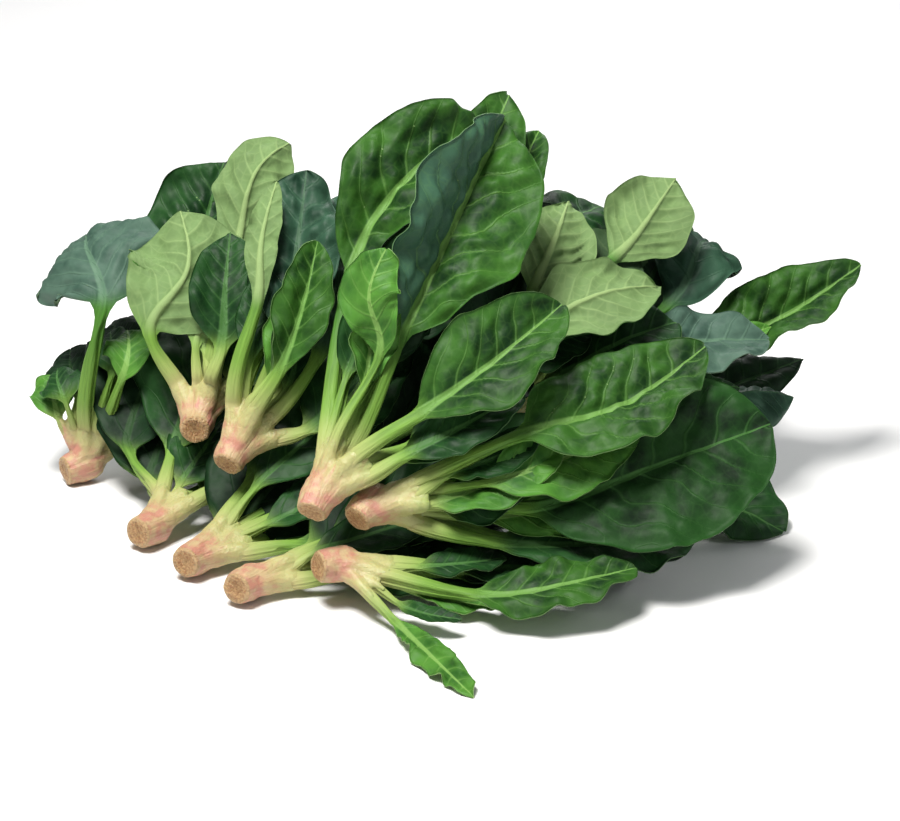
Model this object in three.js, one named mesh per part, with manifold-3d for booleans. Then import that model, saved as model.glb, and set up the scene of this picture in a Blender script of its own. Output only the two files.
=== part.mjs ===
// A bunch of spinach, heaped loose as it is sold: twelve whole young plants, each a short root crown
// cut just below the leaves, with the long-stalked leaves that grow from it. The crowns lie along the
// front and left edge and the leaves run up, back and to the right over one another.
// Millimetres, +Z up, the open front of the heap towards -Y.

import * as THREE from "three";
import { mergeVertices } from "three/addons/utils/BufferGeometryUtils.js";
import Module from "manifold-3d";

// Driving dimensions of a plant
const CROWN_RADIUS = 9.8;
const CROWN_LENGTH = 25;
const CROWN_SIDES = 9;
// Shares of the crown's length and radius, from its cut end to where the stalks part
const CROWN_PROFILE = [
  [-0.42, 0.74],
  [-0.3, 0.9],
  [-0.05, 1.06],
  [0.3, 0.9],
  [0.5, 0.45],
];
const STUB_START = 0.2; // share of a stalk root's length that is sunk in the crown
const STUB_FLARE = 1.7; // how much thicker a stalk's root is inside the crown
const STUB_SIDES = 7;
const STUB_LENGTH = 19; // how far the stalks stay grown together with the crown
const STALK_RADIUS = 4.1; // at the crown
const KNEE_RADIUS = 2.6; // where the blade begins
const RIB_RADIUS = 1.5; // the midrib under the blade, at its start
const RIB_TIP_RADIUS = 0.4;
const BLADE_THICKNESS = 0.95;
const WIDEST = 0.38; // share of the blade's length
const WING = 0.14; // half width of the wing on the stalk, as a share of the widest half width
const TIP_HALF = 0.07; // half width at the very tip, likewise
const LOBE_AT = 0.095; // where the basal lobes stick out, and how far along they reach
const LOBE_REACH = 0.05;
const WAVES = 5.2; // half waves along a blade's edge
const WAVE_SHIFT = 0.7; // of one edge against the other
const JOIN_GAP = 0.35; // between a leaf and the crown stub that it grows from

// How the heap is stacked: every leaf lies on what is under it, seen along this leaning direction
const STACK_TILT = THREE.MathUtils.degToRad(45);
const STACK = new THREE.Vector3(0, -Math.sin(STACK_TILT), Math.cos(STACK_TILT));
const STACK_V = new THREE.Vector3(0, Math.cos(STACK_TILT), Math.sin(STACK_TILT));
const ORDER = new THREE.Vector3(0, -0.6, 1); // leaves are laid from the lowest to the highest along it
const CELL = 2; // grid that holds the height of the heap
const GRID_LOW = [-270, -290]; // across, and up the leaning plane
const GRID_CELLS = [270, 290];
const LAYER_GAP = 0.9; // clear space kept between two layers
const LIFT_REACH = 42; // how far along a leaf a lift fades out
const SETTLE_ROUNDS = 2;

// Ways for the upper side of a blade to face
const UP = [0, -0.25, 1];
const LEAN = [0, -0.5, 0.87];
const FRONT = [0, -0.9, 0.42];
const BACK = [0, 0.55, 0.83];

// Shares of the stalk, then of the blade, at which a leaf has a cross-section
const STALK_ROWS = [0, 0.14, 0.4, 0.7];
const BLADE_ROWS = [0, 0.06, 0.12, 0.21, 0.35, 0.52, 0.68, 0.83, 0.95, 1];
const ACROSS = [-1, -0.5, 0, 0.5, 1];
// The stalk's own outline at those five stations, as shares of its radius
const STALK_ACROSS = [-1, -0.62, 0, 0.62, 1];
const STALK_TOP = [0.26, 0.82, 0.7, 0.82, 0.26];
const STALK_UNDER = [0.26, 0.85, 1, 0.85, 0.26];

// How a leaf is bent unless it says otherwise: the way its upper side looks, or its pale underside
// where under is true, the fold of its two halves in degrees, the rise of its sides and the height
// of its waves as shares of its half width, the size of its two basal lobes, how pointed its tip is,
// its stalk's radius, and how much earlier or later than its height says it comes on to the heap.
const USUAL = {
  face: LEAN,
  under: false,
  fold: 6,
  cup: 0.06,
  wave: 0.1,
  lobe: 0.3,
  taper: 0.44,
  stalk: STALK_RADIUS,
  rank: 0,
};

// A leaf by the places of its knee, where stalk and blade meet, of its blade's middle and of its tip,
// and by its half width.
const leaf = (knee, mid, tip, half, bent = {}) => ({ ...USUAL, knee, mid, tip, half, ...bent });

// The plants. crown is the middle of the root crown and root the way its cut end points. The three
// with a rank lie under the others and are laid first.
const PLANTS = [
  {
    name: "right",
    rank: -300,
    crown: [62, 25, 9],
    root: [-0.8, -0.5, -0.1],
    leaves: [
      leaf([88, 62, 40], [104, 94, 40], [116, 132, 3], 36, { face: BACK }),
      leaf([112, -14, 16], [142, -30, 12], [170, -44, 2], 25, { face: UP }),
      leaf([126, 4, 44], [156, 14, 52], [181, 30, 42], 16, { fold: -24, cup: -0.5 }),
      leaf([130, 24, 66], [172, 36, 81], [214, 52, 104], 23, { fold: 30, wave: 0.06, taper: 0.62 }),
      leaf([102, -20, 84], [132, -12, 88], [164, 2, 83], 20, { fold: 8 }),
    ],
  },
  {
    name: "back",
    rank: -200,
    crown: [-4, 44, 9],
    root: [-0.3, -0.95, 0],
    leaves: [
      leaf([-34, 66, 50], [-66, 94, 42], [-100, 118, 4], 37, { face: BACK }),
      leaf([10, 78, 66], [20, 112, 52], [26, 142, 4], 36, { face: BACK }),
      leaf([40, 34, 88], [62, 50, 122], [86, 84, 124], 30, { cup: -0.2 }),
      leaf([34, 46, 128], [44, 52, 152], [54, 70, 168], 14, { face: FRONT, fold: 25, taper: 0.6 }),
      leaf([10, 32, 112], [24, 46, 152], [39, 64, 187], 20, { face: FRONT, fold: 12, rank: 10 }),
    ],
  },
  {
    name: "middle",
    rank: -100,
    crown: [28, -18, 48],
    root: [-0.7, -0.6, -0.4],
    leaves: [
      leaf([117, 20, 95], [134, 48, 118], [146, 78, 94], 24, { cup: -0.35 }),
      leaf([89, 10, 118], [105, 24, 136], [120, 42, 152], 22, {
        face: FRONT, under: true, taper: 0.55,
      }),
      leaf([50, 0, 104], [60, 10, 124], [67, 28, 141], 22, {
        face: FRONT, under: true, taper: 1, rank: 5,
      }),
      leaf([58, -26, 72], [88, -18, 84], [118, -4, 88], 24),
      leaf([47, -38, 99], [78, -27, 115], [109, -8, 113], 23, { under: true, cup: -0.15 }),
    ],
  },
  {
    name: "far_left",
    crown: [-173, 22, 9],
    root: [-0.85, -0.5, -0.1],
    leaves: [
      leaf([-140, 34, 26], [-138, 58, 50], [-128, 84, 66], 30),
      leaf([-184, 20, 36], [-187, 27, 45], [-188, 40, 50], 11, { wave: 0.22, stalk: 2.6 }),
      leaf([-150, 18, 50], [-147, 24, 63], [-149, 36, 71], 12, { wave: 0.22, stalk: 3 }),
      leaf([-158, 18, 92], [-168, 36, 117], [-172, 70, 114], 37, {
        face: [-0.2, -0.8, 0.5], cup: -0.4, lobe: 0.6,
      }),
    ],
  },
  {
    name: "left_low",
    crown: [-132, -55, 9],
    root: [-0.55, -0.8, 0.1],
    leaves: [
      leaf([-124, -10, 32], [-112, 20, 60], [-96, 62, 76], 32),
      leaf([-96, -30, 24], [-66, -6, 40], [-42, 46, 60], 34),
    ],
  },
  {
    name: "front_corner",
    crown: [-108, -88, 9],
    root: [-0.45, -0.85, 0.1],
    leaves: [
      leaf([-58, -80, 12], [-14, -74, 12], [36, -62, 10], 22, { face: UP }),
      leaf([-66, -60, 20], [-28, -44, 32], [14, -20, 48], 27),
      leaf([-82, -46, 32], [-42, -8, 66], [-6, 50, 88], 35),
    ],
  },
  {
    name: "left_top",
    crown: [-111, -22, 51],
    root: [-0.1, -0.95, -0.1],
    leaves: [
      leaf([-93, -8, 62], [-84, 2, 80], [-76, 18, 98], 20, { stalk: 3.2 }),
      leaf([-107, 34, 90], [-112, 60, 118], [-103, 82, 148], 30, { face: FRONT, rank: -6 }),
      leaf([-95, 34, 112], [-87, 52, 149], [-70, 74, 160], 19, {
        face: FRONT, under: true, cup: 0.3, rank: -22,
      }),
      leaf([-134, 0, 84], [-116, 14, 107], [-121, 36, 134], 32, { face: FRONT, under: true, wave: 0.08 }),
      leaf([-99, -12, 84], [-98, 0, 104], [-96, 20, 130], 18, { face: FRONT }),
    ],
  },
  {
    name: "front_low",
    crown: [-82, -116, 9],
    root: [-0.5, -0.85, 0.1],
    leaves: [
      leaf([-38, -106, 6], [2, -102, 4], [46, -94, 2], 19, { face: UP }),
      leaf([-42, -90, 20], [6, -66, 34], [60, -36, 54], 28),
    ],
  },
  {
    name: "left_tall",
    crown: [-91, -54, 50],
    root: [-0.35, -0.75, -0.5],
    leaves: [
      leaf([-56, -48, 58], [-36, -30, 74], [-14, -4, 90], 25),
      leaf([-51, -36, 92], [-42, 0, 122], [-36, 36, 146], 25, { face: FRONT, fold: 12 }),
      leaf([-69, -30, 98], [-63, -10, 129], [-59, 24, 162], 22, { face: FRONT, wave: 0.16 }),
      leaf([-80, -26, 108], [-79, -16, 136], [-72, 4, 162], 8, { face: FRONT, under: true }),
      leaf([-69, -54, 90], [-59, -44, 116], [-52, -26, 143], 14, { face: FRONT, fold: 34 }),
    ],
  },
  {
    name: "front_pink",
    crown: [-41, -118, 18],
    root: [-0.85, -0.5, 0.1],
    leaves: [
      leaf([-14, -152, 6], [4, -184, 3], [20, -214, 1], 8, { wave: 0.2, fold: 20, stalk: 2.8 }),
      leaf([16, -114, 15], [54, -104, 12], [93, -80, 2], 20, { face: UP }),
      leaf([24, -138, 12], [56, -136, 13], [94, -120, 14], 16, { face: UP, lobe: 0.8, wave: 0.14 }),
    ],
  },
  {
    name: "front_right",
    crown: [-26, -110, 45],
    root: [-0.6, -0.7, -0.35],
    leaves: [
      leaf([34, -114, 28], [78, -110, 26], [124, -98, 24], 20),
      leaf([50, -112, 45], [104, -97, 59], [158, -76, 71], 41, {
        face: [0, -0.75, 0.65], wave: 0.05, taper: 0.42,
      }),
      leaf([4, -112, 48], [32, -108, 57], [62, -98, 68], 16, { lobe: 0.6, wave: 0.16 }),
      leaf([46, -107, 80], [88, -90, 86], [128, -62, 104], 27, { lobe: 0.85, fold: 14, taper: 0.62 }),
    ],
  },
  {
    name: "tall",
    crown: [-49, -114, 51],
    root: [-0.35, -0.75, -0.55],
    leaves: [
      leaf([-36, -26, 130], [-9, -4, 169], [28, 28, 184], 29, {
        face: [-0.2, -0.85, 0.5], fold: 14, rank: -32,
      }),
      leaf([-11, -72, 116], [14, -38, 160], [36, -4, 196], 36, {
        face: [0.46, -0.8, 0.45], fold: 34, taper: 0.5, rank: -30,
      }),
      leaf([-22, -84, 108], [-27, -78, 130], [-19, -66, 149], 14, {
        face: FRONT, wave: 0.2, stalk: 2.8, rank: -15,
      }),
      leaf([-8, -112, 72], [16, -108, 83], [44, -96, 94], 14, { lobe: 0.5, wave: 0.16, rank: 12 }),
      leaf([-2, -108, 90], [29, -98, 110], [61, -74, 129], 23, {
        face: [0, -0.7, 0.7], fold: 20, cup: 0.16,
      }),
    ],
  },
];

const COLOURS = {
  crown: { color: 0xdcae8c, roughness: 0.62, metalness: 0 },
  leaf: { color: 0x2f6b2c, roughness: 0.48, metalness: 0 },
  paleLeaf: { color: 0x86ad62, roughness: 0.6, metalness: 0 },
};

const vec = (a) => new THREE.Vector3(a[0], a[1], a[2]);
const mix = (a, b, t) => a + (b - a) * t;
const smooth = (a, b, x) => {
  const t = Math.min(1, Math.max(0, (x - a) / (b - a)));
  return t * t * (3 - 2 * t);
};

// Stalk roots

const STUB_CLEAR = 0.7; // between two stalk roots
const SPREAD_ROUNDS = 80;

// Turns the stalks' first directions apart until their roots stand clear of each other on the crown.
function spreadDirections(directions) {
  const least = 2 * Math.asin((STALK_RADIUS * 2 + STUB_CLEAR) / (2 * STUB_LENGTH));
  for (let round = 0; round < SPREAD_ROUNDS; round++)
    for (let i = 0; i < directions.length; i++)
      for (let j = i + 1; j < directions.length; j++) {
        const a = directions[i];
        const b = directions[j];
        const short = least - a.angleTo(b);
        if (short <= 0) continue;
        const apart = b.clone().sub(a).normalize().multiplyScalar(short / 2 + 0.002);
        a.sub(apart).normalize();
        b.add(apart).normalize();
      }
  return directions;
}

// Leaf centreline and frame

// A point and its forward direction, at u from 0 (crown) over 1 (knee) and 2 (blade middle) to 3 (tip).
function alongLeaf(leaf, u) {
  const p = leaf.points;
  const k = Math.min(2, Math.floor(u));
  const t = u - k;
  const a = p[k];
  const b = p[k + 1];
  const ma = leaf.tangents[k];
  const mb = leaf.tangents[k + 1];
  const point = new THREE.Vector3()
    .addScaledVector(a, 2 * t ** 3 - 3 * t ** 2 + 1)
    .addScaledVector(ma, t ** 3 - 2 * t ** 2 + t)
    .addScaledVector(b, -2 * t ** 3 + 3 * t ** 2)
    .addScaledVector(mb, t ** 3 - t ** 2);
  const forward = new THREE.Vector3()
    .addScaledVector(a, 6 * t ** 2 - 6 * t)
    .addScaledVector(ma, 3 * t ** 2 - 4 * t + 1)
    .addScaledVector(b, -6 * t ** 2 + 6 * t)
    .addScaledVector(mb, 3 * t ** 2 - 2 * t)
    .normalize();
  return { point, forward };
}

// Sets the four points and four tangents that the centreline runs through.
function layCentreline(leaf, crown, out) {
  const root = crown.clone().addScaledVector(out, STUB_LENGTH + JOIN_GAP);
  const [knee, mid, tip] = [leaf.knee, leaf.mid, leaf.tip].map(vec);
  leaf.points = [root, knee, mid, tip];
  const last = tip.clone().sub(mid).multiplyScalar(1.5);
  const atMid = tip.clone().sub(knee).multiplyScalar(0.5);
  leaf.tangents = [
    out.clone().multiplyScalar(knee.distanceTo(root)),
    mid.clone().sub(root).multiplyScalar(0.5),
    atMid,
    last.addScaledVector(atMid, -0.5),
  ];
}

// Half width of the blade at share t of its length, for a half width of 1: an oval, the more pointed the
// higher its taper, with two lobes near its base and a narrow wing running down on to the stalk.
function outline(t, lobe, taper) {
  const rise = smooth(0, WIDEST, t);
  const past = Math.max(0, (t - WIDEST) / (1 - WIDEST));
  const fall = (1 - past ** 2) ** taper;
  const ears = lobe * Math.exp(-(((t - LOBE_AT) / LOBE_REACH) ** 2));
  return Math.max(TIP_HALF, WING + (1 - WING) * rise * fall - WING * smooth(0.7, 1, t)) + ears;
}

// The offsets [across, height] of a leaf's upper and under side at one row.
function section(leaf, isStalk, share) {
  const t = isStalk ? 0 : share;
  const flat = isStalk ? 0 : smooth(0, 0.06, t);
  const radius = isStalk
    ? mix(leaf.stalk, leaf.kneeRadius, share)
    : mix(leaf.kneeRadius, mix(RIB_RADIUS, RIB_TIP_RADIUS, t), flat);
  const half = leaf.half * outline(t, leaf.lobe, leaf.taper);
  const fold = THREE.MathUtils.degToRad(leaf.fold);
  return ACROSS.map((s, c) => {
    const side = Math.abs(s);
    const turn = Math.PI * (WAVES * t + leaf.phase + (s < 0 ? 0 : WAVE_SHIFT));
    const ripple = leaf.wave * leaf.half * side ** 3 * Math.sin(turn) * smooth(0, 0.3, t);
    const lift = half * side * Math.sin(fold) + leaf.cup * half * side ** 2 + ripple;
    const across = mix(radius * STALK_ACROSS[c], half * s * Math.cos(fold), flat);
    const rib = side === 0 ? 1 : 0;
    const top = mix(radius * STALK_TOP[c], lift + BLADE_THICKNESS / 2, flat);
    const under = mix(-radius * STALK_UNDER[c], lift - BLADE_THICKNESS / 2 - rib * radius, flat);
    return { across, top, under };
  });
}

// All rows of a leaf: their place along it and their corner points, before anything lifts them.
function leafRows(leaf) {
  const face = vec(leaf.face).normalize();
  const rows = [
    ...STALK_ROWS.map((share) => ({ isStalk: true, share, u: share })),
    ...BLADE_ROWS.map((share) => ({ isStalk: false, share, u: 1 + 2 * share })),
  ];
  let before = null;
  let distance = 0;
  for (const row of rows) {
    const { point, forward } = alongLeaf(leaf, row.u);
    const normal = face.clone().addScaledVector(forward, -face.dot(forward)).normalize();
    if (leaf.under) normal.negate();
    const side = new THREE.Vector3().crossVectors(normal, forward);
    const at = (across, height) =>
      point.clone().addScaledVector(side, across).addScaledVector(normal, height);
    const cut = section(leaf, row.isStalk, row.share);
    row.top = cut.map((c) => at(c.across, c.top));
    row.under = cut.map((c) => at(c.across, c.under));
    if (before) distance += before.distanceTo(point);
    before = point;
    row.distance = distance;
    row.lift = 0;
  }
  return rows;
}

// The triangles of a leaf as index triples into its rows' points: five upper, then five under, a row.
// Both faces are split along the same diagonals.
function leafTriangles(rowCount) {
  const n = ACROSS.length;
  const top = (r, c) => r * 2 * n + c;
  const under = (r, c) => top(r, c) + n;
  const found = [];
  for (let r = 0; r < rowCount - 1; r++) {
    for (let c = 0; c < n - 1; c++) {
      found.push([top(r, c), top(r + 1, c), top(r + 1, c + 1)]);
      found.push([top(r, c), top(r + 1, c + 1), top(r, c + 1)]);
      found.push([under(r, c), under(r + 1, c + 1), under(r + 1, c)]);
      found.push([under(r, c), under(r, c + 1), under(r + 1, c + 1)]);
    }
    found.push([top(r, 0), under(r, 0), under(r + 1, 0)]);
    found.push([top(r, 0), under(r + 1, 0), top(r + 1, 0)]);
    found.push([top(r, n - 1), under(r + 1, n - 1), under(r, n - 1)]);
    found.push([top(r, n - 1), top(r + 1, n - 1), under(r + 1, n - 1)]);
  }
  const end = rowCount - 1;
  for (let c = 0; c < n - 1; c++) {
    found.push([top(0, c), top(0, c + 1), under(0, c + 1)]);
    found.push([top(0, c), under(0, c + 1), under(0, c)]);
    found.push([top(end, c), under(end, c + 1), top(end, c + 1)]);
    found.push([top(end, c), under(end, c), under(end, c + 1)]);
  }
  return found;
}

// A row's points after its lift, in the order that leafTriangles counts them.
function rowPoints(row) {
  return [...row.top, ...row.under].map((p) => p.clone().addScaledVector(STACK, row.lift));
}

// Crowns

// Rings of points round an axis, as [place along it, radius], closed at both ends.
function ringSolid(origin, axis, rings, sides) {
  const helper = Math.abs(axis.z) < 0.9 ? new THREE.Vector3(0, 0, 1) : new THREE.Vector3(1, 0, 0);
  const e1 = new THREE.Vector3().crossVectors(axis, helper).normalize();
  const e2 = new THREE.Vector3().crossVectors(axis, e1);
  const points = [];
  for (const [along, radius] of rings)
    for (let k = 0; k < sides; k++) {
      const angle = (2 * Math.PI * k) / sides;
      points.push(
        origin
          .clone()
          .addScaledVector(axis, along)
          .addScaledVector(e1, radius * Math.cos(angle))
          .addScaledVector(e2, radius * Math.sin(angle)),
      );
    }
  const triangles = [];
  for (let r = 0; r < rings.length - 1; r++)
    for (let k = 0; k < sides; k++) {
      const next = (k + 1) % sides;
      const [a, b] = [r * sides + k, r * sides + next];
      triangles.push([a, b, b + sides], [a, b + sides, a + sides]);
    }
  const last = (rings.length - 1) * sides;
  for (let k = 1; k < sides - 1; k++) {
    triangles.push([0, k + 1, k]);
    triangles.push([last, last + k, last + k + 1]);
  }
  return { points, triangles };
}

// The crown's own body and the grown-together roots of its stalks.
function crownShapes(crown, root, directions, leaves) {
  const body = ringSolid(
    crown,
    root.clone().negate(),
    CROWN_PROFILE.map(([along, wide]) => [CROWN_LENGTH * along, CROWN_RADIUS * wide]),
    CROWN_SIDES,
  );
  const stubs = directions.map((out, i) =>
    ringSolid(
      crown,
      out,
      [
        [STUB_LENGTH * STUB_START, leaves[i].stalk * STUB_FLARE],
        [STUB_LENGTH, leaves[i].stalk],
      ],
      STUB_SIDES,
    ),
  );
  return [body, ...stubs];
}

// The heap: over each cell of a plane square to STACK, the highest point so far and whose root crown
// that belongs to, then the highest point of anything else. A leaf may touch its own crown only.

const cells = GRID_CELLS[0] * GRID_CELLS[1];
const highest = new Float64Array(cells).fill(-Infinity);
const owner = new Int32Array(cells).fill(-1);
const highestElse = new Float64Array(cells).fill(-Infinity);
const FREE = -1; // owner of what every leaf has to clear

// The part of a polygon on one side of a grid line, where (its coordinate - line) * side >= 0.
function clip(polygon, axis, line, side) {
  const kept = [];
  polygon.forEach((p, k) => {
    const q = polygon[(k + 1) % polygon.length];
    const a = (p[axis] - line) * side;
    const b = (q[axis] - line) * side;
    if (a >= 0) kept.push(p);
    if (a * b < 0) kept.push(p.map((value, n) => mix(value, q[n], a / (a - b))));
  });
  return kept;
}

// Calls visit(cell, low, high) for each cell that a triangle covers, with its lowest and highest there.
function overCells(corners, visit) {
  const flat = corners.map((p) => [
    (p.x - GRID_LOW[0]) / CELL,
    (p.dot(STACK_V) - GRID_LOW[1]) / CELL,
    p.dot(STACK),
  ]);
  const reach = (polygon, axis) => {
    const values = polygon.map((p) => p[axis]);
    return [Math.floor(Math.min(...values)), Math.floor(Math.max(...values))];
  };
  const [first, last] = reach(flat, 0);
  for (let i = first; i <= last; i++) {
    const strip = clip(clip(flat, 0, i, 1), 0, i + 1, -1);
    if (!strip.length) continue;
    const [near, far] = reach(strip, 1);
    for (let j = near; j <= far; j++) {
      const piece = clip(clip(strip, 1, j, 1), 1, j + 1, -1);
      if (!piece.length) continue;
      const heights = piece.map((p) => p[2]);
      visit(i * GRID_CELLS[1] + j, Math.min(...heights), Math.max(...heights));
    }
  }
}

// Adds a shape to the heap, as part of one plant's crown or as FREE.
function pile({ points, triangles }, whose) {
  for (const t of triangles)
    overCells(
      t.map((k) => points[k]),
      (cell, low, high) => {
        if (whose === owner[cell] && whose !== FREE) {
          highest[cell] = Math.max(highest[cell], high);
        } else if (high > highest[cell]) {
          if (owner[cell] !== whose || whose === FREE) highestElse[cell] = highest[cell];
          highest[cell] = high;
          owner[cell] = whose;
        } else {
          highestElse[cell] = Math.max(highestElse[cell], high);
        }
      },
    );
}

// How far something has to rise over a cell, when its lowest point there is low.
function shortfall(cell, low, whose) {
  const top = owner[cell] === whose && whose !== FREE ? highestElse[cell] : highest[cell];
  return top + LAYER_GAP - low;
}

// Lifts the rows of a leaf until it clears the heap and the ground, bending it smoothly and leaving
// its root where it grows.
function settle(leaf, triangles, whose) {
  const n = 2 * ACROSS.length;
  const rows = leaf.rows;
  for (let round = 0; round < SETTLE_ROUNDS; round++) {
    const need = rows.map(() => 0);
    const points = rows.flatMap(rowPoints);
    points.forEach((p, k) => {
      const r = Math.floor(k / n);
      need[r] = Math.max(need[r], -p.z / STACK.z);
    });
    for (const t of triangles) {
      const touched = t.map((k) => Math.floor(k / n));
      overCells(
        t.map((k) => points[k]),
        (cell, low) => {
          const short = shortfall(cell, low, whose);
          if (short <= 0) return;
          for (const r of touched) need[r] = Math.max(need[r], short);
        },
      );
    }
    const wanted = rows.map((row) =>
      Math.max(
        ...rows.map((other, k) => {
          const far = Math.abs(row.distance - other.distance) / LIFT_REACH;
          return far < 1 ? need[k] * (1 - far * far) ** 2 : 0;
        }),
      ),
    );
    rows.forEach((row, r) => {
      row.lift += r === 0 ? 0 : wanted[r];
    });
  }
}

// Solids

const wasm = await Module();
wasm.setup();

// A closed mesh of points and triangles as a manifold solid.
function solidFrom({ points, triangles }) {
  const geometry = new THREE.BufferGeometry().setFromPoints(points);
  geometry.setIndex(triangles.flat());
  const merged = mergeVertices(geometry, 1e-4);
  return new wasm.Manifold(
    new wasm.Mesh({
      numProp: 3,
      vertProperties: new Float32Array(merged.attributes.position.array),
      triVerts: new Uint32Array(merged.index.array),
    }),
  );
}

// A manifold solid as three.js geometry.
function geometryFrom(solid) {
  const mesh = solid.getMesh();
  const geometry = new THREE.BufferGeometry();
  geometry.setAttribute("position", new THREE.BufferAttribute(mesh.vertProperties, 3));
  geometry.setIndex(new THREE.BufferAttribute(mesh.triVerts, 1));
  geometry.computeVertexNormals();
  return geometry;
}

const GROUND_REACH = 600;

// Crown body and stalk roots in one solid, with a flat spot where it lies on the ground.
function crownSolid(shapes) {
  const whole = shapes.map(solidFrom).reduce((a, b) => a.add(b));
  const ground = solidFrom(
    ringSolid(
      new THREE.Vector3(0, 0, 0),
      new THREE.Vector3(0, 0, -1),
      [
        [0, GROUND_REACH],
        [CROWN_LENGTH, GROUND_REACH],
      ],
      4,
    ),
  );
  return whole.subtract(ground);
}

function named(name, geometry, look) {
  const mesh = new THREE.Mesh(geometry, new THREE.MeshStandardMaterial({ ...COLOURS[look], name: look }));
  mesh.name = name;
  return mesh;
}

// The bunch

const bunch = new THREE.Group();
const triangles = leafTriangles(STALK_ROWS.length + BLADE_ROWS.length);
const ROOT_ROWS = 2; // the rows of a leaf that lie against its own crown
const isRoot = (t) => t.every((k) => k < ROOT_ROWS * 2 * ACROSS.length);
const rootTriangles = triangles.filter(isRoot);
const freeTriangles = triangles.filter((t) => !isRoot(t));

// Lays a crown on the heap and points its stalk roots at its leaves.
function placeCrown(plant) {
  plant.middle = vec(plant.crown);
  plant.directions = spreadDirections(
    plant.leaves.map((one) => vec(one.knee).sub(plant.middle).normalize()),
  );
  const root = vec(plant.root).normalize();
  const shapes = () => crownShapes(plant.middle, root, plant.directions, plant.leaves);
  let rise = 0;
  for (const { points, triangles } of shapes())
    for (const t of triangles)
      overCells(
        t.map((k) => points[k]),
        (cell, low) => {
          rise = Math.max(rise, shortfall(cell, low, plant.number));
        },
      );
  plant.middle.addScaledVector(STACK, rise);
  plant.shapes = shapes();
  plant.shapes.forEach((shape) => pile(shape, plant.number));
}

const plants = PLANTS.map((given, number) => ({
  ...given,
  number,
  leaves: given.leaves.map((one, k) => ({
    ...one,
    number: k,
    phase: ((number * 5 + k * 3) % 7) / 3.5, // a different start for each leaf's waves
    kneeRadius: (KNEE_RADIUS * one.stalk) / STALK_RADIUS,
  })),
}));

// Leaves go on to the heap from the lowest to the highest, each crown just before its first leaf.
const layers = plants
  .flatMap((plant) =>
    plant.leaves.map((leaf) => ({
      plant,
      leaf,
      height: vec(leaf.mid).dot(ORDER) + (plant.rank ?? 0) + leaf.rank,
    })),
  )
  .sort((a, b) => a.height - b.height);
for (const { plant, leaf } of layers) {
  if (!plant.shapes) placeCrown(plant);
  layCentreline(leaf, plant.middle, plant.directions[leaf.number]);
  leaf.rows = leafRows(leaf);
  settle(leaf, triangles, plant.number);
  leaf.points = leaf.rows.flatMap(rowPoints);
  pile({ points: leaf.points, triangles: rootTriangles }, plant.number);
  pile({ points: leaf.points, triangles: freeTriangles }, FREE);
}

for (const plant of plants) {
  bunch.add(named(`${plant.name}_crown`, geometryFrom(crownSolid(plant.shapes)), "crown"));
  for (const leaf of plant.leaves) {
    const geometry = new THREE.BufferGeometry().setFromPoints(leaf.points);
    geometry.setIndex(triangles.flat());
    geometry.computeVertexNormals();
    bunch.add(named(`${plant.name}_leaf_${leaf.number + 1}`, geometry, leaf.under ? "paleLeaf" : "leaf"));
  }
}

const box = new THREE.Box3().setFromObject(bunch);
const middle = box.getCenter(new THREE.Vector3());
bunch.position.set(-middle.x, -middle.y, -box.min.z);

export default bunch;
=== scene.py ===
"""Looks of a bunch of spinach: fine leaves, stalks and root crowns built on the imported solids.

Every leaf reads its own run, width and bends back out of its solid, so it lies where that lies.
Shapes are worked out in millimetres and turned into metres when a mesh is made.
"""

import logging
import math
from dataclasses import dataclass
from enum import Enum

import bpy
import numpy as np
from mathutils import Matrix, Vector


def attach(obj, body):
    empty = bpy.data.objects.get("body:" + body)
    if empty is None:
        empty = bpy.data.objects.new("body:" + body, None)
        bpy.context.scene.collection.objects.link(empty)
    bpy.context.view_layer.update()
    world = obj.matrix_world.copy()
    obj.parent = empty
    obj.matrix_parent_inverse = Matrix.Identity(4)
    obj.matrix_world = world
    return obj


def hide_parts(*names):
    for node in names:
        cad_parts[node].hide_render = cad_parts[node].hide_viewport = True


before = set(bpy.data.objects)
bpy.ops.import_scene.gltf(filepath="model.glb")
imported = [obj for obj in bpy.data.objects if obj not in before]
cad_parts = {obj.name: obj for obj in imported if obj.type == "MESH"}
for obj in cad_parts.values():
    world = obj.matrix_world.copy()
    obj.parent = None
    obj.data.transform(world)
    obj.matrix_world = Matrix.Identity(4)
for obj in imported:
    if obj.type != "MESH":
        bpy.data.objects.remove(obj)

MM = 0.001
LOG = logging.getLogger("spinach")

# The solids' own make: cross-sections along a leaf, corners across each of its two faces, and how
# many of the first sections are plain stalk
ROWS = 14
STALK_ROWS = 5
ACROSS = 5
STALK_RISE = 0.7  # height of the stalk's grooved top over its middle, as a share of its radius
BLADE_SOLID = 0.95  # thickness of a solid's blade
STUB_REACH = 19.35  # from the middle of a crown to the start of each leaf

# The heap's layers lie over one another along this leaning direction
STACK = np.array([0.0, -math.sqrt(0.5), math.sqrt(0.5)])
STACK_V = np.array([0.0, math.sqrt(0.5), math.sqrt(0.5)])
LAYER_CELL = 3.0


class Detail(Enum):
    """How finely a leaf is made: (blade sections a millimetre, columns on each half)."""

    SHOWN = (0.72, 15)
    BURIED = (0.42, 9)
    SMALL = (0.5, 7)


def smooth(low: float, high: float, x: np.ndarray) -> np.ndarray:
    """Rises softly from 0 at low to 1 at high."""
    t = np.clip((x - low) / (high - low), 0.0, 1.0)
    return t * t * (3 - 2 * t)


def unit(v: np.ndarray) -> np.ndarray:
    """Vectors of the last axis at length 1."""
    return v / np.maximum(np.linalg.norm(v, axis=-1, keepdims=True), 1e-9)


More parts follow.
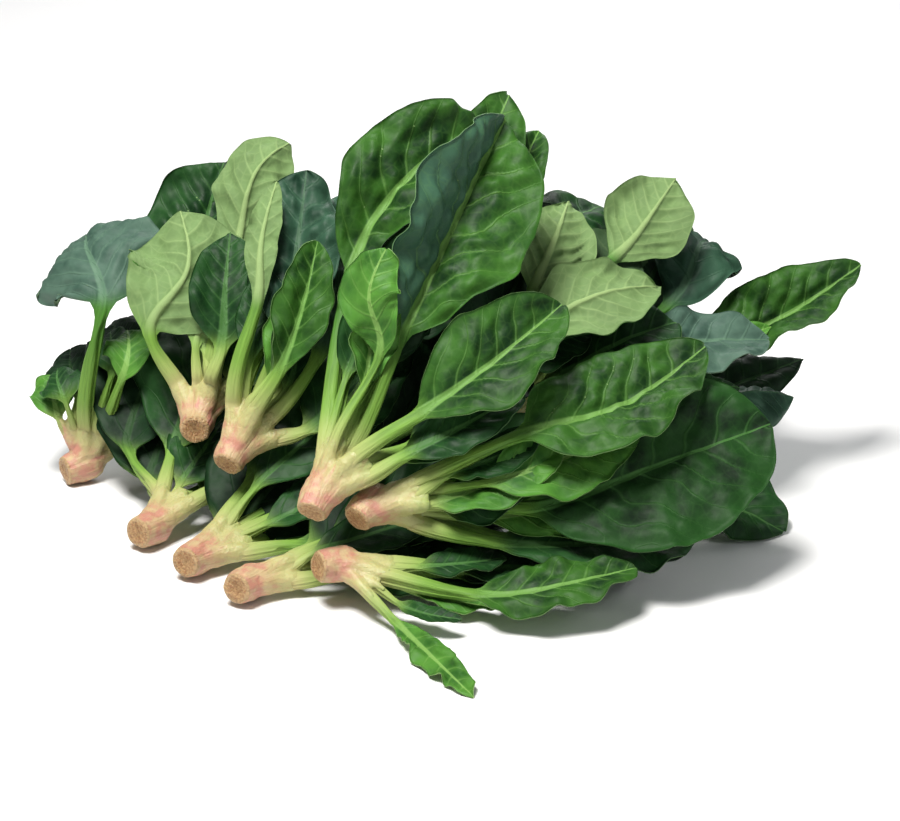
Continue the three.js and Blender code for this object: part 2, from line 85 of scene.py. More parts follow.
def along(knots: np.ndarray, values: np.ndarray, at: np.ndarray) -> np.ndarray:
    """Reads values given at knots at other places, on a smooth curve through them.

    Args:
        knots: Rising places, one for each value.
        values: Numbers, vectors or whole sections, one for each knot on the first axis.
        at: The places to read.

    Returns:
        The values there, with the places on the first axis.
    """
    slopes = np.gradient(values, knots, axis=0)
    k = np.clip(np.searchsorted(knots, at, side="right") - 1, 0, len(knots) - 2)
    span = knots[k + 1] - knots[k]
    shape = (-1,) + (1,) * (values.ndim - 1)
    t = np.clip((at - knots[k]) / span, 0, 1).reshape(shape)
    span = span.reshape(shape)
    return (
        (2 * t**3 - 3 * t**2 + 1) * values[k]
        + (t**3 - 2 * t**2 + t) * span * slopes[k]
        + (3 * t**2 - 2 * t**3) * values[k + 1]
        + (t**3 - t**2) * span * slopes[k + 1]
    )


def eased(values: np.ndarray, reach: int) -> np.ndarray:
    """Evens out values along the first axis.

    Args:
        values: The values.
        reach: Over how many of them to each side.

    Returns:
        As many values, without short bends.
    """
    shares = np.hanning(2 * reach + 3)[1:-1]
    ends = [np.repeat(values[:1], reach, axis=0), values, np.repeat(values[-1:], reach, axis=0)]
    padded = np.concatenate(ends)
    return sum(share * padded[k : k + len(values)] for k, share in enumerate(shares / shares.sum()))


class Noise:
    """Smooth seeded noise on a plane, about -1 to 1, with bumps one unit across."""

    def __init__(self, seed: int) -> None:
        """Draws the directions that the noise is made of."""
        angles = np.random.default_rng(seed).uniform(0, 2 * math.pi, (64, 64))
        self.leans = np.stack([np.cos(angles), np.sin(angles)], axis=-1)

    def __call__(self, x: np.ndarray, y: np.ndarray) -> np.ndarray:
        """Reads the noise.

        Args:
            x: Places on the plane's first axis.
            y: Places on its second axis.

        Returns:
            The noise at each place.
        """
        i, j = np.floor(x).astype(int), np.floor(y).astype(int)
        u, v = x - i, y - j
        total = 0.0
        for di in (0, 1):
            for dj in (0, 1):
                lean = self.leans[(i + di) % 64, (j + dj) % 64]
                pull = lean[..., 0] * (u - di) + lean[..., 1] * (v - dj)
                near_u = smooth(0, 1, 1 - np.abs(u - di))
                near_v = smooth(0, 1, 1 - np.abs(v - dj))
                total = total + pull * near_u * near_v
        return total * 1.5


Corners = dict[tuple[int, int], int]  # for each edge of a triangle, its third corner


class SolidReader:
    """Finds the cross-sections of a leaf's solid again among its triangles."""

    def __init__(self) -> None:
        """Lays out the triangles of a solid of ROWS sections, as every leaf is made."""
        self.pattern = self.corners(self.triangles())

    @staticmethod
    def triangles() -> list[tuple[int, int, int]]:
        """Lays out the triangles, with the points numbered section by section, upper ones first.

        Returns:
            The three point numbers of each triangle.
        """

        def top(r: int, c: int) -> int:
            """The upper point of section r at place c across."""
            return r * 2 * ACROSS + c

        def under(r: int, c: int) -> int:
            """The under point there."""
            return top(r, c) + ACROSS

        found = []
        for r in range(ROWS - 1):
            for c in range(ACROSS - 1):
                found.append((top(r, c), top(r + 1, c), top(r + 1, c + 1)))
                found.append((top(r, c), top(r + 1, c + 1), top(r, c + 1)))
                found.append((under(r, c), under(r + 1, c + 1), under(r + 1, c)))
                found.append((under(r, c), under(r, c + 1), under(r + 1, c + 1)))
            last = ACROSS - 1
            found.append((top(r, 0), under(r, 0), under(r + 1, 0)))
            found.append((top(r, 0), under(r + 1, 0), top(r + 1, 0)))
            found.append((top(r, last), under(r + 1, last), under(r, last)))
            found.append((top(r, last), top(r + 1, last), under(r + 1, last)))
        end = ROWS - 1
        for c in range(ACROSS - 1):
            found.append((top(0, c), top(0, c + 1), under(0, c + 1)))
            found.append((top(0, c), under(0, c + 1), under(0, c)))
            found.append((top(end, c), under(end, c + 1), top(end, c + 1)))
            found.append((top(end, c), under(end, c), under(end, c + 1)))
        return found

    @staticmethod
    def corners(triangles: list[tuple[int, int, int]]) -> Corners:
        """For each edge of a triangle, walked as the triangle turns, its third corner."""
        return {(t[k], t[(k + 1) % 3]): t[(k + 2) % 3] for t in triangles for k in range(3)}

    def numbering(self, mesh: Corners, start: tuple[int, int]) -> dict[int, int] | None:
        """Carries the pattern's numbers over to a mesh, beginning at one edge.

        Args:
            mesh: The mesh's edges and third corners.
            start: The edge to take for the pattern's edge from point 0 to point 1.

        Returns:
            The mesh's point for each of the pattern's, or None if they don't match from there.
        """
        first = (0, 1)
        found = dict(zip(first, start))
        used = set(start)
        waiting, seen = [first], set()
        while waiting:
            edge = waiting.pop()
            if edge in seen:
                continue
            seen.add(edge)
            a, b = edge
            third = self.pattern[edge]
            there = mesh.get((found[a], found[b]))
            if there is None or found.get(third, there) != there:
                return None
            if third not in found:
                if there in used:
                    return None
                found[third] = there
                used.add(there)
            waiting += [(b, a), (third, b), (a, third)]
        return found

    def sections(self, node: str) -> np.ndarray:
        """Reads a leaf's cross-sections.

        Args:
            node: The leaf's name.

        Returns:
            Points in millimetres, by section from crown to tip, face (upper, under) and place across.
        """
        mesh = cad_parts[node].data
        points = np.array([v.co for v in mesh.vertices]) / MM
        _, kept, same = np.unique(np.round(points, 3), axis=0, return_index=True, return_inverse=True)
        same = same.ravel()
        found = self.corners([tuple(int(same[k]) for k in p.vertices) for p in mesh.polygons])
        for start in found:
            numbers = self.numbering(found, start)
            if not numbers:
                continue
            order = [kept[numbers[k]] for k in range(ROWS * 2 * ACROSS)]
            sections = points[order].reshape(ROWS, 2, ACROSS, 3)
            width = np.linalg.norm(sections[:, 0, -1] - sections[:, 0, 0], axis=1)
            if width[STALK_ROWS - 1] < width[ROWS - STALK_ROWS]:  # else it was read from tip to crown
                return sections
        raise ValueError(f"{node} isn't made of {ROWS} sections")


@dataclass
class LeafForm:
    """A leaf's smooth middle surface on a fine grid, and what its finish needs to know there.

    Attributes:
        node: The leaf's name.
        detail: How finely it is made.
        seed: What sets its waves apart from other leaves'.
        curl: How strongly its margins ruffle, 1 being usual.
        pucker: How strongly its blade bulges between the veins, likewise.
        even: How much more its blade's outline is evened out than its stalk's.
    """

    node: str
    detail: Detail
    seed: int
    curl: float = 1.0
    pucker: float = 1.0
    even: float = 1.7

    MIDRIB_END = 0.35
    ROUND_TIP = 0.94  # share of the blade's length from which the tip is rounded off
    VEIN_LEAN = 0.75  # how far forward a side vein runs for each millimetre outward
    VEIN_CURVE = 0.3
    # How high the blade's bulges between veins, swells and margin ruffles stand, and how far the
    # margin rolls down, in millimetres on a wide leaf
    PUFF = 1.4
    SWELL = 5.2
    RUFFLE = 5.0
    ROLL = 2.0
    BLADE = 0.27  # half the blade's thickness

    def lay(self, sections: np.ndarray) -> None:
        """Works out the fine middle surface from the solid's sections.

        Args:
            sections: Points by section, face and place across.
        """
        self.noise = Noise(self.seed)
        top, under = sections[:, 0], sections[:, 1]
        up = unit(top[:, 2] - under[:, 2])
        self.way = unit(np.cross(top[0, 4] - top[0, 0], up[0]))
        stalk = np.linalg.norm(top[:STALK_ROWS, 4] - top[:STALK_ROWS, 0], axis=1) / 2
        drop = np.concatenate([STALK_RISE * stalk, np.full(ROWS - STALK_ROWS, BLADE_SOLID / 2)])
        middle = (top + under) / 2
        middle[:, 2] = top[:, 2] - up * drop[:, None]
        self.root = middle[0, 2]
        steps = np.linalg.norm(np.diff(middle[:, 2], axis=0), axis=1)
        knots = np.concatenate([[0], np.cumsum(steps)])
        self.knee = knots[STALK_ROWS - 1]
        self.length = knots[-1] - self.knee

        at = self.rows()
        t = np.clip((at - self.knee) / self.length, 0, 1)
        lines = along(knots, middle, at)
        late = np.clip((t - self.ROUND_TIP) / (1 - self.ROUND_TIP), 0, 1)
        close = np.sqrt(1 - 0.98 * late**2)[:, None, None]
        spine = lines[:, 2:3]
        straighter = (smooth(-5.0, 15.0, at - self.knee) * smooth(1.0, 0.82, t))[:, None, None]
        calm = spine + (eased(spine, max(2, len(at) // 9)) - spine) * straighter
        reach = len(at) / 14
        near, far = (eased(lines - spine, max(2, int(r))) for r in (reach, reach * self.even))
        lines = calm + (near + (far - near) * smooth(0.0, 16.0, at - self.knee)[:, None, None]) * close
        half = np.linalg.norm(np.diff(lines, axis=1), axis=2).sum(axis=1) / 2
        neck = along(knots[:STALK_ROWS], stalk, np.minimum(at, self.knee))
        rib = self.MIDRIB_END + (neck - self.MIDRIB_END) * (1 - t) ** 1.5
        self.radius = np.where(at < self.knee, neck, rib)
        self.blade = smooth(self.knee - 14, self.knee + 12, at)
        self.half = half[:, None]
        share = self.columns()
        self.surface(lines, share, at)
        self.normals *= np.sign(np.sum(self.normals * along(knots, up, at)[:, None]))
        self.lay_veins()
        self.shift = np.zeros_like(self.x)

    def rows(self) -> np.ndarray:
        """Lays out the rows of the grid, closer together towards the tip.

        Returns:
            How far along the leaf each row lies.
        """
        per_mm, _ = self.detail.value
        stalk_count = 6 + int(self.knee / 7)
        t = np.linspace(0, 1, 8 + int(self.length * per_mm))
        t = 0.65 * t + 0.35 * np.sin(t * math.pi / 2)
        stalk = np.linspace(0, self.knee, stalk_count, endpoint=False)
        return np.concatenate([stalk, self.knee + self.length * t])

    def columns(self) -> np.ndarray:
        """Lays out the columns over stalk or midrib and over the two halves of the blade.

        Returns:
            The place of each grid point across the leaf, from -1 at the left margin to 1.
        """
        _, count = self.detail.value
        rib_share = np.minimum(self.radius[:, None] / self.half, 0.92)
        q = np.sin(np.linspace(-1, 1, 7) * math.pi / 2)[None, :]
        out = rib_share + (1 - rib_share) * np.linspace(0, 1, count + 1)[None, 1:] ** 0.92
        flat = np.zeros_like(out)
        self.rib = np.concatenate([flat, np.sqrt(1 - q**2) + 0 * rib_share, flat], axis=1)
        self.groove = np.concatenate([flat, (1 - q**2) ** 2 + 0 * rib_share, flat], axis=1)
        return np.concatenate([-out[:, ::-1], q * rib_share, out], axis=1)

    def surface(self, lines: np.ndarray, share: np.ndarray, at: np.ndarray) -> None:
        """Sets the grid's points and normals and its measures across and along the leaf.

        Args:
            lines: Points by row, at the five places across that the solid gives.
            share: Place across of each grid point.
            at: Distance along of each row.
        """
        side = np.sign(share)
        rows = at[:, None]
        jag = self.noise(rows / 16 + 7 * side, 3.3 * side)
        jag = jag + 0.3 * self.noise(rows / 5 + 5 * side, 9.1 * side)
        self.edge = np.abs(share)
        s = (self.edge * (1 + 0.045 * jag * self.edge**2 * self.blade[:, None]))[..., None]
        left = (share < 0)[..., None]
        half_way = np.where(left, lines[:, None, 1], lines[:, None, 3])
        margin = np.where(left, lines[:, None, 0], lines[:, None, 4])
        near = (1 - s) * (1 - 2 * s) * lines[:, None, 2]
        self.points = near + 4 * s * (1 - s) * half_way + s * (2 * s - 1) * margin
        self.normals = unit(np.cross(np.gradient(self.points, axis=1), np.gradient(self.points, axis=0)))
        self.x = share * self.half
        self.d = np.repeat(rows, share.shape[1], axis=1)
        self.y = self.d - self.knee

    def lay_veins(self) -> None:
        """Numbers the side veins: each runs where the vein number is whole."""
        x, y = np.abs(self.x), self.y
        spacing = min(16.0, max(5.0, self.length / 7))
        lean = y - self.VEIN_LEAN * x - self.VEIN_CURVE * x * x / np.maximum(self.half, 3)
        first = math.atan(1 / self.VEIN_LEAN)
        beyond = (np.arctan2(x, y) - first) / math.radians(30)
        warp = 0.5 * self.noise(self.x / 21 + 3, self.y / 21) * smooth(2, 12, x)
        offset = np.where(self.x < 0, 0.4, 0.0) + 0.5
        self.vein = np.where(lean > 0, lean / spacing, -np.maximum(beyond, 0)) + warp + offset
        self.vein_gap = spacing * 0.8

    def wave(self, room_up: np.ndarray, room_down: np.ndarray) -> None:
        """Crumples the blade, as far as the leaves above and below it leave room.

        Args:
            room_up: Free way along the upper normal at each point.
            room_down: Free way against it.
        """
        n, x, y = self.noise, self.x, self.y
        side = np.sign(x)
        size = float(np.clip(self.half.max() / 20, 0.45, 1.35))
        amount = self.blade[:, None] * smooth(1, 12, y) * np.clip(self.half / (20 * size), 0.3, 1.0) * size
        saw = np.abs(self.vein - np.round(self.vein)) * 2
        band = np.round(self.vein - 0.5)
        cross = np.abs(x) * 1.25 / 8.5 + 0.37 * band
        cell = np.abs(cross - np.round(cross)) * 2
        strength = 1 + 0.7 * n(x / 14 + 21, y / 14)
        puff = np.sqrt(np.clip(saw, 0, 1)) * (0.6 + 0.4 * np.sqrt(cell)) * strength * smooth(1, 5, np.abs(x))
        long, short = 26 * size, 15 * size
        swell = n(x / long + 11, y / long) + 0.5 * n(x / short, y / short + 17)
        ruffle = n(y / (15 * size) + 40 * side, 5.5 + 0 * y)
        ruffle = ruffle + 0.4 * n(y / (7 * size) + 23 * side, 8.5 + 0 * y)
        free = amount * (
            self.pucker * (self.PUFF * puff - 0.5) * smooth(1.0, 0.8, self.edge)
            + 0.8 * self.pucker * n(x / 8, y / 8 + 31)
            + self.SWELL * swell * smooth(0.1, 0.9, self.edge)
            + self.RUFFLE * self.curl * ruffle * smooth(0.4, 1.0, self.edge)
            - self.ROLL * smooth(0.55, 1.0, self.edge) ** 2
        )
        raised = room_up * np.tanh(free / room_up)
        sunk = room_down * np.tanh(free / room_down)
        self.shift = np.where(free > 0, raised, sunk)

    def skin(self) -> tuple[np.ndarray, np.ndarray]:
        """Lays the two faces of the leaf off its middle surface.

        Returns:
            The upper and the under face, as points on the grid.
        """
        r = self.radius[:, None] * (0.7 + 0.3 * smooth(-1.0, 7.0, self.d[:, :1]))
        b = self.blade[:, None]
        thick = 0.26 * r * (1 - b) + self.BLADE * b
        rise = self.rib * r * (0.92 * (1 - b) + 0.1 * b) - self.groove * r * (0.32 * (1 - b) + 0.22 * b)
        fall = self.rib * r * (0.96 * (1 - b) + 0.85 * b)
        saw = np.abs(self.vein - np.round(self.vein)) * self.vein_gap
        rib_line = np.exp(-((saw / 0.8) ** 2)) * 0.45 * b * smooth(1.0, 0.6, self.edge) * (1 - self.rib)
        upper = self.points + self.normals * (self.shift + thick + rise - 0.4 * rib_line)[..., None]
        under = self.points + self.normals * (self.shift - thick - fall - rib_line)[..., None]
        return upper, under


class Heap:
    """The free way between the layers of the heap."""

    LEAST_ROOM = 0.25
    MOST_ROOM = 8.5

    def __init__(self, leaves: list[LeafForm]) -> None:
        """Notes the mean height of each leaf over each cell of the leaning plane.

        Args:
            leaves: Every leaf, with its middle surface laid.
        """
        rows = []
        for number, leaf in enumerate(leaves):
            cells, heights = self.layer(leaf.points.reshape(-1, 3))
            rows.append(np.stack([cells, heights, np.full(len(cells), number)], axis=1))
        table = np.concatenate(rows)
        self.table = table[np.lexsort((table[:, 1], table[:, 0]))]
        same = self.table[1:, 0] == self.table[:-1, 0]
        step = np.diff(self.table[:, 1])
        self.above = np.append(np.where(same, step, np.inf), np.inf)
        self.below = np.insert(np.where(same, step, np.inf), 0, np.inf)
        keys = self.table[:, 0] * 1000 + self.table[:, 2]
        self.order = np.argsort(keys)
        self.keys = keys[self.order]

    @classmethod
    def layer(cls, points: np.ndarray) -> tuple[np.ndarray, np.ndarray]:
        """Finds the cells that a leaf lies over, and its mean height in each.

        Args:
            points: Points all over the leaf.

        Returns:
            The cells' numbers and the heights.
        """
        cell, height = cls.over(points)
        cells, which = np.unique(cell, return_inverse=True)
        which = which.ravel()
        return cells, np.bincount(which, height) / np.bincount(which)

    @staticmethod
    def over(points: np.ndarray) -> tuple[np.ndarray, np.ndarray]:
        """Finds the cell that each point lies over.

        Args:
            points: The points.

        Returns:
            Each one's cell, as one number, and its height.
        """
        u = np.floor((points[:, 0] + 400) / LAYER_CELL)
        v = np.floor((points @ STACK_V + 400) / LAYER_CELL)
        return u * 1000 + v, points @ STACK

    def room(self, number: int, leaf: LeafForm) -> tuple[np.ndarray, np.ndarray]:
        """How far a leaf's points may move up and down along their normals.

        Args:
            number: The leaf's place in the list that the heap was made from.
            leaf: The leaf.

        Returns:
            The room along the upper normal and against it, in millimetres.
        """
        flat = leaf.points.reshape(-1, 3)
        cell, _ = self.over(flat)
        spot = self.order[np.searchsorted(self.keys, cell * 1000 + number)]
        facing = leaf.normals.reshape(-1, 3) @ STACK
        gap_up = np.where(facing > 0, self.above[spot], self.below[spot])
        gap_down = np.where(facing > 0, self.below[spot], self.above[spot])
        ground = flat[:, 2] / np.maximum(np.abs(leaf.normals.reshape(-1, 3)[:, 2]), 0.3)
        gap_down = np.minimum(gap_down, 2 * ground)
        shape = leaf.x.shape
        return tuple(
            np.clip(gap.reshape(shape) * 0.5 - 0.3, self.LEAST_ROOM, self.MOST_ROOM)
            for gap in (gap_up, gap_down)
        )


class Layers:
    """The leaves laid so far, against which the place of a further one is judged."""

    CLEAR = 30.0  # this close to the crown, leaves may touch
    TOUCHING = 1.5

    def __init__(self, leaves: list[LeafForm]) -> None:
        """Notes the cells and heights of the first leaves."""
        self.laid = [self.cells(leaf) for leaf in leaves]

    def cells(self, leaf: LeafForm) -> tuple[np.ndarray, np.ndarray]:
        """The cells and heights of a leaf, away from its crown."""
        return Heap.layer(leaf.points[leaf.d > self.CLEAR])

    def cuts(self, leaf: LeafForm) -> float:
        """How far a leaf would cut through those that are laid.

        Args:
            leaf: The leaf.

        Returns:
            The number of cells where it lies on the wrong side of another or touches it.
        """
        mine, heights = self.cells(leaf)
        total = 0.0
        for cells, others in self.laid:
            _, here, there = np.intersect1d(mine, cells, assume_unique=True, return_indices=True)
            over = heights[here] - others[there]
            above = np.count_nonzero(over > 0)
            total += min(above, len(over) - above) + 0.5 * np.count_nonzero(np.abs(over) < self.TOUCHING)
        return total

    def choose(self, tried: list[LeafForm]) -> LeafForm:
        """Lays the leaf that cuts through the others least.

        Args:
            tried: The ways in which it could lie.

        Returns:
            The best of them.
        """
        best = min(tried, key=self.cuts)
        self.laid.append(self.cells(best))
        return best


class MeshMaker:
    """Turns grids of points into Blender objects."""

    @staticmethod
    def closed_sheet(upper: np.ndarray, under: np.ndarray) -> tuple[np.ndarray, np.ndarray]:
        """Joins two faces of the same grid all round their rim.

        Args:
            upper: The upper points, by row and column.
            under: The under points.

        Returns:
            All points in one list, and the faces as four point numbers each.
        """
        rows, columns, _ = upper.shape
        number = np.arange(rows * columns).reshape(rows, columns)
        low = number + rows * columns
        a, b, c, d = number[:-1, :-1], number[:-1, 1:], number[1:, 1:], number[1:, :-1]
        top = np.stack([a, b, c, d], axis=-1).reshape(-1, 4)
        bottom = np.stack([a, d, c, b], axis=-1).reshape(-1, 4) + rows * columns

        def strip(line: np.ndarray, other: np.ndarray) -> np.ndarray:
            """The faces between two lines of points."""
            return np.stack([line[:-1], other[:-1], other[1:], line[1:]], axis=-1)

        rim = [
            strip(number[:, 0][::-1], low[:, 0][::-1]),
            strip(number[:, -1], low[:, -1]),
            strip(number[0], low[0]),
            strip(number[-1][::-1], low[-1][::-1]),
        ]
        points = np.concatenate([upper.reshape(-1, 3), under.reshape(-1, 3)])
        return points, np.concatenate([top, bottom, *(r[:, ::-1] for r in rim)])

    @staticmethod
    def build(
        name: str, points: np.ndarray, faces: np.ndarray, notes: dict[str, np.ndarray]
    ) -> bpy.types.Object:
        """Makes an object.

        Args:
            name: Its name.
            points: Its points in millimetres.
            faces: Point numbers, one row for each face.
            notes: Named vectors, one for each point, that its finish reads.

        Returns:
            The object, shaded smooth.
        """
        mesh = bpy.data.meshes.new(name)
        mesh.from_pydata((points * MM).tolist(), [], faces.tolist())
        for key, values in notes.items():
            layer = mesh.attributes.new(key, "FLOAT_VECTOR", "POINT")
            layer.data.foreach_set("vector", np.ascontiguousarray(values, np.float32).ravel())
        mesh.update()
        mesh.shade_smooth()
        made = bpy.data.objects.new(name, mesh)
        bpy.context.scene.collection.objects.link(made)
        return made


class Graph:
    """Short ways to lay out a material's shader nodes."""

    def __init__(self, name: str) -> None:
        """Starts an empty material with its shader.

        Args:
            name: The material's name.
        """
        self.material = bpy.data.materials.new(name)
        self.material.use_nodes = True
        self.tree = self.material.node_tree
        self.shader = self.tree.nodes["Principled BSDF"]

    def put(self, socket: bpy.types.NodeSocket, value: object) -> None:
        """Links a socket, or sets it where the value is a plain number or colour.

        Args:
            socket: The socket.
            value: What goes into it.
        """
        if isinstance(value, bpy.types.NodeSocket):
            self.tree.links.new(value, socket)
        elif isinstance(value, tuple) and len(value) == 3 and socket.type == "RGBA":
            socket.default_value = (*value, 1)
        else:
            socket.default_value = value

    def attribute(self, name: str) -> tuple[bpy.types.NodeSocket, ...]:
        """Reads what the mesh notes on its points.

        Args:
            name: The name of the note.

        Returns:
            The vector and its three parts.
        """
        node = self.tree.nodes.new("ShaderNodeAttribute")
        node.attribute_name = name
        parts = self.tree.nodes.new("ShaderNodeSeparateXYZ")
        self.put(parts.inputs[0], node.outputs["Vector"])
        return (node.outputs["Vector"], *parts.outputs)

    def math(self, what: str, a: object, b: object = 0.0, c: object = 0.0) -> bpy.types.NodeSocket:
        """Does one sum on numbers.

        Args:
            what: The kind of sum.
            a: Its first number.
            b: Its second one, where it has two.
            c: Its third one, where it has three.

        Returns:
            The result.
        """
        node = self.tree.nodes.new("ShaderNodeMath")
        node.operation = what
        for socket, value in zip(node.inputs, (a, b, c)):
            self.put(socket, value)
        return node.outputs[0]

    def step(self, value: object, low: float, high: float) -> bpy.types.NodeSocket:
        """Rises softly from 0 at low to 1 at high, or falls where low is above high.

        Args:
            value: The number that it follows.
            low: Where it is 0.
            high: Where it is 1.

        Returns:
            The share from 0 to 1.
        """
        node = self.tree.nodes.new("ShaderNodeMapRange")
        node.interpolation_type = "SMOOTHSTEP"
        turned = low > high
        given = (value, min(low, high), max(low, high), float(turned), float(not turned))
        for socket, number in zip(node.inputs, given):
            self.put(socket, number)
        return node.outputs[0]

    def mix(self, share: object, a: object, b: object, how: str = "MIX") -> bpy.types.NodeSocket:
        """Lays one colour over another.

        Args:
            share: How much of the second shows, from 0 to 1.
            a: The first colour.
            b: The second colour.
            how: The way in which they mix.

        Returns:
            The mixed colour.
        """
        node = self.tree.nodes.new("ShaderNodeMix")
        node.data_type = "RGBA"
        node.blend_type = how
        self.put(node.inputs["Factor"], share)
        self.put(node.inputs[6], a)
        self.put(node.inputs[7], b)
        return node.outputs[2]

    def stretched(self, vector: object, scale: tuple[float, float, float]) -> bpy.types.NodeSocket:
        """Multiplies each part of a vector.

        Args:
            vector: The vector.
            scale: By how much, for each part.

        Returns:
            The stretched vector.
        """
        node = self.tree.nodes.new("ShaderNodeVectorMath")
        node.operation = "MULTIPLY"
        self.put(node.inputs[0], vector)
        self.put(node.inputs[1], scale)
        return node.outputs[0]

    def noise(self, vector: object, size: float, detail: float = 3.0) -> bpy.types.NodeSocket:
        """Lays out noise.

        Args:
            vector: Where it is read, in millimetres.
            size: How large its bumps are.
            detail: How many finer layers it has.

        Returns:
            The noise, from 0 to 1.
        """
        node = self.tree.nodes.new("ShaderNodeTexNoise")
        self.put(node.inputs["Vector"], vector)
        self.put(node.inputs["Scale"], 1 / size)
        self.put(node.inputs["Detail"], detail)
        return node.outputs["Fac"]

    def cells(self, vector: object, size: float, feature: str) -> bpy.types.NodeSocket:
        """Lays out cells.

        Args:
            vector: Where they are read, in millimetres.
            size: How large they are.
            feature: What the distance is measured to.

        Returns:
            The distance to the middle or the edge of the cell.
        """
        node = self.tree.nodes.new("ShaderNodeTexVoronoi")
        node.feature = feature
        self.put(node.inputs["Vector"], vector)
        self.put(node.inputs["Scale"], 1 / size)
        return node.outputs["Distance"]

    def bump(self, height: object, reach: float, strength: float = 1.0) -> None:
        """Roughens the surface.

        Args:
            height: The height of each spot.
            reach: How many millimetres a height of 1 stands for.
            strength: How strongly it shows.
        """
        node = self.tree.nodes.new("ShaderNodeBump")
        self.put(node.inputs["Strength"], strength)
        self.put(node.inputs["Distance"], reach * MM)
        self.put(node.inputs["Height"], height)
        self.put(self.shader.inputs["Normal"], node.outputs["Normal"])

    def set(self, **values: object) -> bpy.types.Material:
        """Sets the shader's own sockets.

        Args:
            **values: What goes into each socket, by its name with _ for a space.

        Returns:
            The material.
        """
        for key, value in values.items():
            self.put(self.shader.inputs[key.replace("_", " ")], value)
        return self.material


Colour = tuple[float, float, float]


@dataclass(frozen=True)
class StalkColours:
    """Colours along a stalk, from the crown outward."""

    crown: Colour = (0.43, 0.37, 0.175)
    cream: Colour = (0.33, 0.40, 0.125)
    young: Colour = (0.17, 0.32, 0.050)
    grown: Colour = (0.052, 0.165, 0.020)


@dataclass
class LeafReadings:
    """What a leaf's shader reads off the mesh, and the lines and patches worked out from it."""

    graph: Graph

    def __post_init__(self) -> None:
        """Reads the mesh's notes and lays out veins, net and patches."""
        g = self.graph
        self.place, self.x, self.d, _ = g.attribute("place")
        _, number, gap, rib = g.attribute("veins")
        _, self.up, self.blade, self.edge = g.attribute("zone")
        off = g.math("ABSOLUTE", g.math("SUBTRACT", number, g.math("ROUND", number)))
        wander = g.math("MULTIPLY", g.noise(self.place, 3.0), 0.5)
        distance = g.math("ADD", g.math("MULTIPLY", off, gap), wander)
        fading = g.math("MULTIPLY", self.edge, 0.7)
        self.side_vein = g.step(g.math("ADD", distance, fading), 1.35, 0.4)
        self.halo = g.step(distance, 3.2, 0.3)
        net = g.step(g.cells(self.place, 5.2, "DISTANCE_TO_EDGE"), 0.12, 0.01)
        self.net = g.math("MULTIPLY", net, g.noise(self.place, 9.0))
        self.midrib = g.step(rib, 1.3, 0.7)
        self.patches = g.step(g.noise(self.place, 17.0), 0.36, 0.66)
        self.mottled = g.step(g.noise(self.place, 3.5, 3.0), 0.3, 0.75)
        self.streaks = g.noise(g.stretched(self.place, (1.0, 0.05, 1.0)), 1.3, 3.0)


